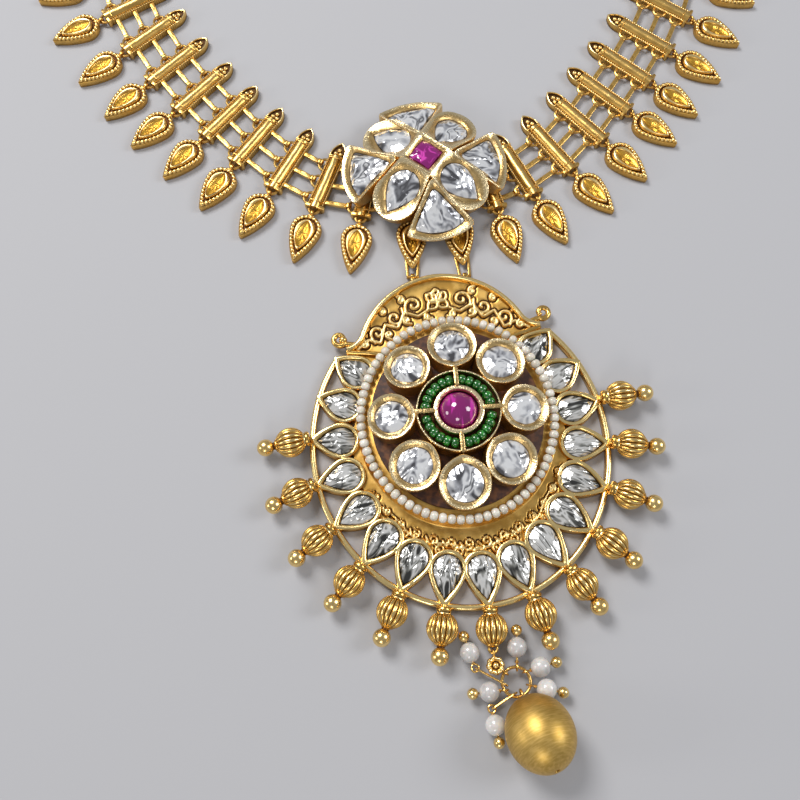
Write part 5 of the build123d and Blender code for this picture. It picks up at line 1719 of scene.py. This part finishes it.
    def build(self) -> None:
        """Makes the plate's pieces, the frames and their stones."""
        p = PENDANT
        collar = sleeve(0.42, 1.5, 0.43, 20).at(tipped("y", 90))
        collars = collar.copies([m @ place(0.28, 0) for m in p.melon_places()])
        lug = sleeve(0.45, 0.72, 0.45).at(tipped("x", 90))
        lugs = []
        for index, reach in zip((BAND.half - 1, BAND.half), Bails.reaches):
            x, y = BAND.on_bar(index, 0, BAR.foot - reach)
            spot = place(x, y, 0.75, BAND.places[index][2] - 90)
            lugs.append(lug.at(spot))
            lugs.append(pillow(1.3, 0.9, 1.3, 0.3).at(spot @ place(1.1, 0)))
        piece("pendant_ring", joined([p.outer_ring(), p.frame_bezels(), self.crown_trim(), collars, *lugs]),
              Finish.FRAME, ["pendant_frame"])
        piece("pendant_plate", joined([self.drum(), self.crown_shell()]), Finish.CHASED, (), 60)
        names = [f"frame_stone_{k:02d}" for k in range(1, p.frames + 1)]
        piece("frame_gems", p.frame_stones(), Finish.PEAR_FOIL, names, 12)


@dataclass
class Bails:
    """The straps that join the middle bars and the crown."""

    reaches: tuple[float, float] = (15.15, 15.75)
    eye_turn: float = 35.0
    floor: float = 0.1
    top: float = 0.75
    strap: float = 0.6
    half_width: float = 1.0
    eye_radius: float = 0.8
    eye_half_width: float = 0.3
    bar_wire: float = 0.28
    bend_y: float = -3.0
    step: float = 0.75

    def bail(self, reach: float) -> Shell:
        """One bail: two flat straps from the ring's eyes to a round bar."""
        parts = []
        for side in (-1, 1):
            angle = -90 + side * (90 - self.eye_turn)
            x, y = flat_turn((BAR.bail_ring, 0), angle)
            eye = sleeve(BAR.eye_hole, self.eye_radius, self.eye_half_width)
            parts.append(eye.at(place(x, y, BAR.link_height, angle) @ tipped("x", 90)))
            start = flat_turn((BAR.bail_ring + self.step, 0), angle)
            parts.append(pillow(0.6, 0.6, 1.0, 0.3).at(place(*start, 0.6, angle)))
            corners = np.array([start, (1.05 * start[0], self.bend_y),
                                (side * self.half_width, -reach - 0.2)])
            path = evenly(corners, 40, loop=False)
            half = self.strap / 2
            section = [(-half, self.floor), (half, self.floor), (half, self.top), (-half, self.top)]
            profile = softened(section, 0.12)
            parts.append(woven(swept(flat(path), profile), 0.6))
        bar = np.linspace((-self.half_width - 0.3, -reach), (self.half_width + 0.3, -reach), 8)
        parts.append(wire(flat(bar, self.top), self.bar_wire))
        return joined(parts)

    def build(self) -> None:
        """Makes both bails."""
        spots = [place(*BAND.on_bar(i, 0, BAR.foot), 0, BAND.places[i][2])
                 for i in (BAND.half - 1, BAND.half)]
        bails = [self.bail(reach).at(spot) for reach, spot in zip(self.reaches, spots)]
        piece("bails", joined(bails), Finish.WIRE, ["pendant_bails"])


@dataclass
class Flower:
    """Eight petal bezels round a cabochon in a ring of green beads, in a ring of seed pearls."""

    floor: float = 3.7
    plate: float = 0.7
    oval: float = 1.078
    distance: float = 13.2
    rim_height: float = 7.9
    tilt: float = 8.0
    lip: float = 1.5
    depth: float = 1.5
    pearl_ring: float = 19.1
    pearl_height: float = 4.75
    pearls: int = 73
    boss_radius: float = 5.0
    boss_height: float = 9.6
    cabochon_radius: float = 3.75
    cabochon_rise: float = 2.6
    gutter_radius: float = 7.9
    gutter_wall: float = 0.4
    gutter_top: float = 8.9
    gutter_bed: float = 6.95
    green_ring: float = 6.45
    green_height: float = 8.15
    petals: tuple[tuple[float, float, float], ...] = (
        # angle, radius, reach
        (0, 4.8, 5.1), (45, 5.0, 5.2), (90, 5.0, 5.2), (135, 4.7, 4.9), (180, 4.7, 5.0), (225, 5.0, 5.2),
        (270, 5.1, 5.6), (315, 5.1, 5.3),
    )

    @property
    def middle(self) -> tuple[float, float]:
        """The flower's middle."""
        return flat_turn((0, PENDANT.flower_rise), PENDANT.turn)

    def petal_pieces(self) -> tuple[list[Shell], list[Shell]]:
        """The petals' bezels and stones."""
        bezels, stones = [], []
        for k, (angle, radius, reach) in enumerate(self.petals):
            at = petal_place(self.middle, self.distance, angle, self.rim_height, self.tilt, 0, self.oval)
            outer = -leaf(radius, reach)
            share = 1 - self.lip / radius
            seat = -leaf(radius * share, reach * share)
            uneven = 1 + 0.035 * wobble(len(seat), 70 + k, 5)[:, None]
            foot = lambda outline: (self.floor - at[2, 3] - outline @ at[2, :2]) / at[2, 2]
            bezels.append(bezel(outer, seat * uneven, (0, 0), foot, self.depth, 60 + k).at(at))
            stones.append(foil_stone(seat * 1.01, (0, 0), -0.95, 0.8, 80 + k, 8, 0.5).at(at))
        return bezels, stones

    def boss(self) -> list[Shell]:
        """The cabochon's bezel, the gutter's wall and floor, and four claws."""
        x, y = self.middle
        r, h = self.boss_radius, self.boss_height
        seat = self.cabochon_radius + 0.08
        # The tones paint a highlight on the bezel's top and shade down into the seat.
        rows = [(r, 4.0, 0.3), (r, h - 0.5, 0.7), (r - 0.12, h - 0.15, 0.95), (r - 0.4, h, 1.0),
                (seat + 0.3, h - 0.05, 0.95), (seat + 0.08, h - 0.3, 0.7), (seat, h - 0.9, 0.1),
                (seat, h - 1.5, 0.0)]
        boss = layered([(circle(radius, 72), z, tone) for radius, z, tone in rows])
        outer, wall = self.gutter_radius + self.gutter_wall, self.gutter_radius
        top, bed = self.gutter_top, self.gutter_bed
        # The tones paint a highlight on the gutter's wall and shade on its floor.
        rows = [(outer, 4.0, 0.3), (outer, top - 0.15, 0.8), (outer - 0.1, top, 1.0), (wall + 0.1, top, 1.0),
                (wall, top - 0.15, 0.7), (wall, bed, 0.0), (1.0, bed, 0.0)]
        gutter = layered([(circle(radius, 96), z, tone) for radius, z, tone in rows])
        claw = pillow(outer - r + 0.8, 0.9, 0.55, 0.4).at(place((outer + r) / 2, 0, 9.62))
        leg = pillow(0.5, 0.9, 5.6, 0.3).at(place(outer - 0.15, 0, 7.0))
        claws = joined([claw, leg]).copies([place(0, 0, 0, a) for a in (0, 90, 180, 270)])
        return [s.at(place(x, y)) for s in (boss, gutter, claws)]

    def pearl_string(self) -> Shell:
        """Seed pearls: an oblate bead with a small dimple at its hole, 73 times round the oval."""
        path = evenly(oval(self.pearl_ring, self.pearl_ring * self.oval, 720), self.pearls)
        ahead = np.roll(path, -1, 0) - np.roll(path, 1, 0)
        turns = np.degrees(np.arctan2(ahead[:, 1], ahead[:, 0]))
        profile = [(-0.70, 0.18), (-0.80, 0.34), (-0.74, 0.62), (-0.52, 0.86), (-0.2, 0.985), (0.2, 0.985),
                   (0.52, 0.86), (0.74, 0.62), (0.80, 0.34), (0.70, 0.18)]
        bead = spun(profile, 14)
        rng = np.random.default_rng(9)
        spots = []
        for (px, py), turn in zip(path, turns):
            size = rng.uniform(0.93, 1.0)
            spot = place(px, py, self.pearl_height + rng.uniform(-0.05, 0.05), turn + rng.uniform(-7, 7))
            spots.append(spot @ stretched(rng.uniform(0.94, 1.0), size, size))
        return bead.copies(spots).at(place(*self.middle))

    def green_beads(self) -> Shell:
        """Green beads: six in each quarter of the gutter, between the claws."""
        profile = [(-0.60, 0.25), (-0.74, 0.45), (-0.68, 0.78), (-0.42, 1.0), (0, 1.07), (0.42, 1.0),
                   (0.68, 0.78), (0.74, 0.45), (0.60, 0.25)]
        bead = spun(profile, 18)
        rng = np.random.default_rng(4)
        spots = []
        for quarter in range(4):
            for angle in 90 * quarter + np.linspace(11.5, 78.5, 6):
                a = angle + rng.uniform(-0.8, 0.8)
                x, y = flat_turn((self.green_ring, 0), a)
                height = self.green_height + rng.uniform(-0.06, 0.04)
                spot = place(x, y, height, a + 90 + rng.uniform(-6, 6))
                spots.append(spot @ stretched(1.0, rng.uniform(0.95, 1.0), 1.0))
        return bead.copies(spots).at(place(*self.middle))

    def build(self) -> None:
        """Makes the flower's pieces."""
        bezels, stones = self.petal_pieces()
        x, y = self.middle
        plate = oval(self.pearl_ring - 2.0, (self.pearl_ring - 1.0) * self.oval - 1.0, 180)
        top = self.floor + self.plate
        backing = terrace([plate, plate, plate * 0.99, plate * 0.05],
                          [self.floor, top - 0.1, top, top], [0.3, 0.3, 0.3, 0.3])
        piece("flower_bezels", joined([*bezels, *self.boss()]), Finish.RIM, ["flower_setting"])
        # The backing paints shade in the gaps between the petals.
        piece("flower_backing", backing.at(place(x, y)), Finish.GAP_SHADE)
        piece("petal_gems", joined(stones), Finish.PETAL_FOIL,
              [f"petal_stone_{k}" for k in range(1, 9)], 12)
        r, rise, foot = self.cabochon_radius, self.cabochon_rise, self.boss_height - self.depth + 0.1
        dome = (r * r + rise * rise) / (2 * rise)
        share = np.concatenate([[1.0], np.linspace(1.0, 0.03, 16)])
        height = foot + 0.4 + np.sqrt(dome ** 2 - (r * share) ** 2) - (dome - rise)
        height[0] = foot
        cabochon = terrace([circle(r * s, 64) for s in share], list(height), np.full(len(share), 0.8))
        piece("cabochon_gem", cabochon.at(place(x, y)), Finish.MAGENTA, ["cabochon"], 60)
        piece("green_beads", self.green_beads(), Finish.GREEN, ["green_bead_string"], 70)
        piece("seed_pearls", self.pearl_string(), Finish.SEED, ["pearl_string"], 70)


@dataclass
class MelonDrops:
    """Ribbed beads on headpins round the pendant."""

    radius: float = 3.0
    length: float = 5.6
    end: float = 1.2
    offset: float = 3.65
    ribs: int = 16
    groove: float = 0.42
    ball_radius: float = 1.7
    ball_offset: float = 5.0
    eye_index: int = 6
    eye_reach: float = 0.65
    eye_radius: float = 0.75
    rows: int = 17

    def melon(self) -> Shell:
        """The ribbed bead: the radius is the belly's less a groove where |sin(n a / 2)| is small."""
        x = np.linspace(-1, 1, self.rows)
        belly = arc_through((-self.length / 2, self.end), (0, self.radius), (self.length / 2, self.end),
                            self.rows)
        a = (np.arange(self.ribs * 8) / (self.ribs * 8) * TAU)[None]
        lobe = np.abs(np.sin(self.ribs * a / 2)) ** 0.55
        fade = (1 - 0.55 * np.abs(x) ** 3)[:, None]
        r = belly[:, 1:] - self.groove * fade * (1 - lobe)
        grid = np.stack([belly[:, :1] + 0 * a, r * np.cos(a), r * np.sin(a)], axis=-1)
        # Painted shade in the grooves, darker towards the ends.
        relief = np.clip(1.05 * lobe - 0.12 - 0.25 * np.abs(x)[:, None] ** 2, 0, 1)
        return woven(grid, relief).at(place(self.offset, 0))

    def pin(self, with_ball: bool) -> Shell:
        """The headpin, its collars, and the end ball or eye."""
        near = self.offset - self.length / 2
        # The collars' tones paint shade where they meet the bead and at the neck.
        parts = [
            spun([(-0.65, 0.1), (-0.65, 0.55), (-0.3, 0.6), (-0.25, 0.3), (near + 0.2, 0.3)], 14, 0.5),
            spun([(near - 0.12, 0.9), (near - 0.1, 1.35), (near + 0.15, 1.5), (near + 0.5, 1.45)], 24,
                 [0.5, 0.9, 0.9, 0.1]),
        ]
        far = self.offset + self.length / 2
        parts.append(spun([(far - 0.4, 1.3), (far + 0.1, 1.28), (far + 0.28, 0.95), (far + 0.45, 0.72),
                           (self.offset + self.ball_offset - 1.2 if with_ball else far + 0.4, 0.74)], 24,
                          [0.2, 0.6, 0.5, 0.12, 0.2]))
        if with_ball:
            parts.append(ball(self.ball_radius, 15, 24, 0.85).at(place(self.offset + self.ball_offset, 0)))
        else:
            parts.append(torus(self.eye_radius, 0.25, 24, 10).at(place(far + self.eye_reach, 0)))
        return joined(parts)

    def build(self) -> None:
        """Makes the thirteen drops, each bead turned a little on its pin."""
        spots = PENDANT.melon_places()
        rng = np.random.default_rng(3)
        beads = [m @ tipped("x", float(rng.uniform(0, 22))) for m in spots]
        plain = [m for k, m in enumerate(spots) if k != self.eye_index]
        parts = [self.melon().copies(beads), self.pin(True).copies(plain),
                 self.pin(False).at(spots[self.eye_index])]
        piece("melon_beads", joined(parts), Finish.BEAD, ["melon_drops"], 50)


@dataclass
class Tassel:
    """Rings, rosette, headpins with pearls, and the matte ball."""

    ring_middle: tuple[float, float] = (2.5, -46.2)
    ring_radius: float = 2.6
    ring_wire: float = 0.3
    height: float = 2.1
    pin_wire: float = 0.18
    eye: float = 0.68
    pearl_radius: float = 1.85
    pearl_hole: float = 0.3
    ball_radius: float = 1.05
    ball_reach: float = 3.02
    slack: float = 0.45
    link_angles: tuple[float, float] = (175, 240)
    link_ends: tuple[tuple[float, float], ...] = ((-4.5, -42.75), (-2.7, -50.1))
    rosette: tuple[float, float] = (-0.82, -42.86)
    rosette_floor: float = 2.6
    rosette_radius: float = 1.62
    matte_middle: tuple[float, float] = (4.52, -55.13)
    matte_radius: float = 6.1
    matte_half: float = 6.9
    matte_pitch: float = 27.0

    def on_ring(self, angle: float) -> tuple[float, float]:
        """A point of the ring's wire."""
        x, y = flat_turn((self.ring_radius, 0), angle)
        return (self.ring_middle[0] + x, self.ring_middle[1] + y)

    def pins(self) -> list[tuple[tuple[float, float], float, float, bool]]:
        """Each headpin's eye, heading, pearl distance, and whether its eye is upright."""
        return [
            (self.link_ends[0], 101, 2.85, False), (self.on_ring(205), 178, 2.8, True),
            (self.link_ends[1], -87, 2.8, False), (self.on_ring(76.7), 80, 3.5, True),
            (self.on_ring(35), 8, 2.8, True), (self.on_ring(-22), -20, 3.05, True),
        ]

    def rings(self) -> Shell:
        """The flat ring and the two upright oval links."""
        at = PENDANT.here
        parts = [torus(self.ring_radius, self.ring_wire, 48, 10).at(at(*self.ring_middle, self.height))]
        for angle, end in zip(self.link_angles, self.link_ends):
            start = self.on_ring(angle)
            distance, way = heading(start, end)
            near, far = -self.slack, distance - self.eye
            loop = stadium(far - near, self.eye, 10)
            spot = at(*start, self.height, way) @ place((near + far) / 2, 0) @ tipped("x", 90)
            parts.append(wire(flat(loop), self.pin_wire, 8, loop=True).at(spot))
        return joined(parts)

    def rosette_shell(self) -> Shell:
        """The rosette: eight round petals about a boss, and its two eyes.

        The outline's radius is r (0.95 + 0.11 |cos 4a|); the top swells on each petal.
        """
        a = np.arange(96) / 96 * TAU
        edge = self.rosette_radius * (0.95 + 0.11 * np.abs(np.cos(4 * a)))
        outline = edge[:, None] * np.stack([np.cos(a), np.sin(a)], axis=1)
        swell = 0.22 * np.abs(np.cos(4 * a))
        # The tones paint a highlight on the petals and shade in the groove round the boss.
        rows = [(1.0, 0.05, 0.3), (1.0, 0.6, 0.4), (0.93, 0.85 + swell * 0.6, 0.9), (0.75, 0.95 + swell, 1.0),
                (0.55, 0.85 + swell * 0.4, 0.5), (0.42, 0.72, 0.0), (0.1, 0.75, 0.1)]
        body = layered([(outline * share, np.broadcast_to(z, a.shape), tone) for share, z, tone in rows])
        boss = ball(0.58, 9, 16, 0.9).at(place(0, 0, 0.9))
        at = PENDANT.here
        parts = [joined([body, boss]).at(at(*self.rosette, self.rosette_floor))]
        middle = flat_turn(self.rosette, PENDANT.turn)
        drop = MelonDrops()
        reach = drop.offset + drop.length / 2 + drop.eye_reach + drop.eye_radius
        hook = (PENDANT.melon_places()[drop.eye_index] @ place(reach, 0))[:2, 3]
        lower = flat_turn(self.on_ring(133), PENDANT.turn)
        for spot, height in ((hook, PENDANT.melon_height), (lower, self.height)):
            turn = heading(middle, spot)[1]
            parts.append(torus(self.eye, self.pin_wire).at(place(*spot, height, turn) @ tipped("x", 90)))
        return joined(parts)

    def headpins(self) -> Shell:
        """The pins with their eyes, their wraps beside the pearl, and their end balls."""
        parts = []
        for eye, way, pearl, upright in self.pins():
            at = PENDANT.here(*eye, self.height, way)
            loop = torus(self.eye, self.pin_wire)
            parts.append(loop.at(at @ tipped("x", 90)) if upright else loop.at(at))
            end = pearl + self.ball_reach
            parts.append(spun([(self.eye, self.pin_wire), (end - 0.5, self.pin_wire)], 10).at(at))
            wraps = [place(x, 0) @ tipped("y", 90) for x in (self.eye + 0.12, self.eye + 0.34)]
            parts.append(torus(0.26, 0.12, 16, 6).copies(wraps).at(at))
            parts.append(ball(self.ball_radius, 13, 20, 0.85).at(at @ place(end, 0)))
        return joined(parts)

    def pearls(self) -> Shell:
        """The drilled pearls: a half circle from hole to hole turned round X."""
        mouth = math.asin(self.pearl_hole / self.pearl_radius)
        t = np.linspace(mouth, math.pi - mouth, 19)
        x, r = -self.pearl_radius * np.cos(t), self.pearl_radius * np.sin(t)
        turn = (np.arange(28) / 28 * TAU)[:, None]
        grid = np.stack([x + 0 * turn, r * np.cos(turn), r * np.sin(turn)], axis=-1)
        pearl = woven(grid, 0.6, loop=True)
        return pearl.copies([PENDANT.here(*eye, self.height, way) @ place(pearl_at, 0)
                             for eye, way, pearl_at, _ in self.pins()])

    def ball_shell(self) -> tuple[Shell, Shell]:
        """The matte ball, longer along its pin, with a drill hole at its far end; and its loop."""
        hang = self.on_ring(-75)
        way = heading(self.matte_middle, hang)[1]
        pitch = math.radians(self.matte_pitch)
        height = 0.1 + math.hypot(self.matte_half * math.sin(pitch), self.matte_radius * math.cos(pitch))
        t = np.linspace(0.085, math.pi - 0.02, 60)
        x, r = -self.matte_half * np.cos(t), self.matte_radius * np.sin(t)
        x = np.concatenate([[x[0] + 1.2, x[0] + 0.2], x])
        r = np.concatenate([[0.42, 0.46], r])
        tone = np.concatenate([[0.0, 0.0], np.full(60, 0.6)])
        body = spun(np.stack([x, r], axis=1), 96, tone)
        around = np.arctan2(body.points[:, 2], body.points[:, 1])
        body.chart[:] = np.stack([np.cos(around), np.sin(around), body.points[:, 0] * 0.35], axis=1)
        body = body.at(PENDANT.here(*self.matte_middle, height, way) @ tipped("y", self.matte_pitch))
        loop = torus(1.1, 0.25, 36, 10).at(PENDANT.here(*hang, self.height, way) @ tipped("x", 90))
        return body, loop

    def build(self) -> None:
        """Makes the tassel's pieces."""
        ball_body, loop = self.ball_shell()
        piece("rings", joined([self.rings(), loop]), Finish.WIRE, ["tassel_rings"])
        piece("rosette", self.rosette_shell(), Finish.BEAD, ["tassel_flower"], 60)
        piece("headpins", self.headpins(), Finish.WIRE, ["tassel_headpins"])
        piece("grey_pearls", self.pearls(), Finish.GREY, ["tassel_pearls"], 70)
        piece("brushed_ball", ball_body, Finish.BALL, ["matte_ball"], 60)


# Stage.


@dataclass
class Studio:
    """A plain pale floor, soft lights and the camera."""

    floor_colour: Colour = (0.42, 0.42, 0.44)
    camera_at: tuple[float, float, float] = (-15.25, -44.82, 165.0)
    tilt: float = 18.5
    turn: float = -4.1
    lens: float = 38.25
    sensor: float = 36.0
    aim: tuple[float, float, float] = (0.0, 0.03, 0.0)
    lights: tuple[tuple[str, tuple[float, float, float], float, float, Colour], ...] = (
        # name, place, size, power, colour
        ("key", (-0.30, 0.40, 0.62), 0.34, 4.7, (1.0, 0.99, 0.97)),
        ("side", (0.55, 0.05, 0.45), 0.30, 1.7, (0.97, 0.98, 1.0)),
        ("front", (-0.15, -0.62, 0.42), 0.25, 1.0, (1.0, 0.97, 0.93)),
        ("low", (-0.65, -0.05, 0.22), 0.20, 0.6, (1.0, 0.97, 0.93)),
    )
    sky: tuple[float, float, float, float] = (0.90, 0.92, 0.95, 1.0)
    sky_strength: float = 0.34

    def floor(self) -> None:
        """The floor under the necklace."""
        size = 3.0
        mesh = bpy.data.meshes.new("floor")
        corners = [(-size, -size, 0), (size, -size, 0), (size, size, 0), (-size, size, 0)]
        mesh.from_pydata(corners, [], [(0, 1, 2, 3)])
        made = bpy.data.objects.new("floor", mesh)
        bpy.context.scene.collection.objects.link(made)
        g = Graph("floor_pale")
        mesh.materials.append(g.finish(None, 0, {
            "Base Color": (*self.floor_colour, 1.0), "Roughness": 0.8}))

    def light(self, name: str, at: Sequence[float], size: float, power: float, colour: Colour) -> None:
        """A round soft light that looks at the necklace's middle."""
        data = bpy.data.lights.new(name, "AREA")
        data.shape, data.size, data.energy, data.color = "DISK", size, power, colour
        made = bpy.data.objects.new(name, data)
        made.location = at
        away = np.array(at) - np.array(self.aim)
        distance = float(np.linalg.norm(away))
        made.rotation_euler = (math.acos(away[2] / distance), 0, math.atan2(away[1], away[0]) + math.pi / 2)
        bpy.context.scene.collection.objects.link(made)

    def build(self) -> None:
        """Makes the floor, the lights, the world and the camera."""
        self.floor()
        for row in self.lights:
            self.light(*row)
        world = bpy.data.worlds.new("studio")
        world.use_nodes = True
        background = world.node_tree.nodes["Background"]
        background.inputs["Color"].default_value = self.sky
        background.inputs["Strength"].default_value = self.sky_strength
        bpy.context.scene.world = world
        bpy.context.scene.view_settings.view_transform = "Standard"
        data = bpy.data.cameras.new("camera")
        data.lens, data.sensor_width = self.lens, self.sensor
        data.clip_start, data.clip_end = 0.01, 10.0
        camera = bpy.data.objects.new("camera", data)
        camera.location = tuple(METRES * v for v in self.camera_at)
        camera.rotation_euler = (math.radians(self.tilt), 0, math.radians(self.turn))
        bpy.context.scene.collection.objects.link(camera)
        bpy.context.scene.camera = camera


def main() -> None:
    """Builds the necklace around the frame."""
    logging.basicConfig(level=logging.INFO, format="%(message)s")
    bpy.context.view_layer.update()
    for part in (BAR, LeafDrops(), BackChain(), Cluster(), Plate(), Bails(), Flower(), MelonDrops(),
                 Tassel(), Studio()):
        log.info("building %s", type(part).__name__)
        part.build()


if __name__ == "__main__":
    main()
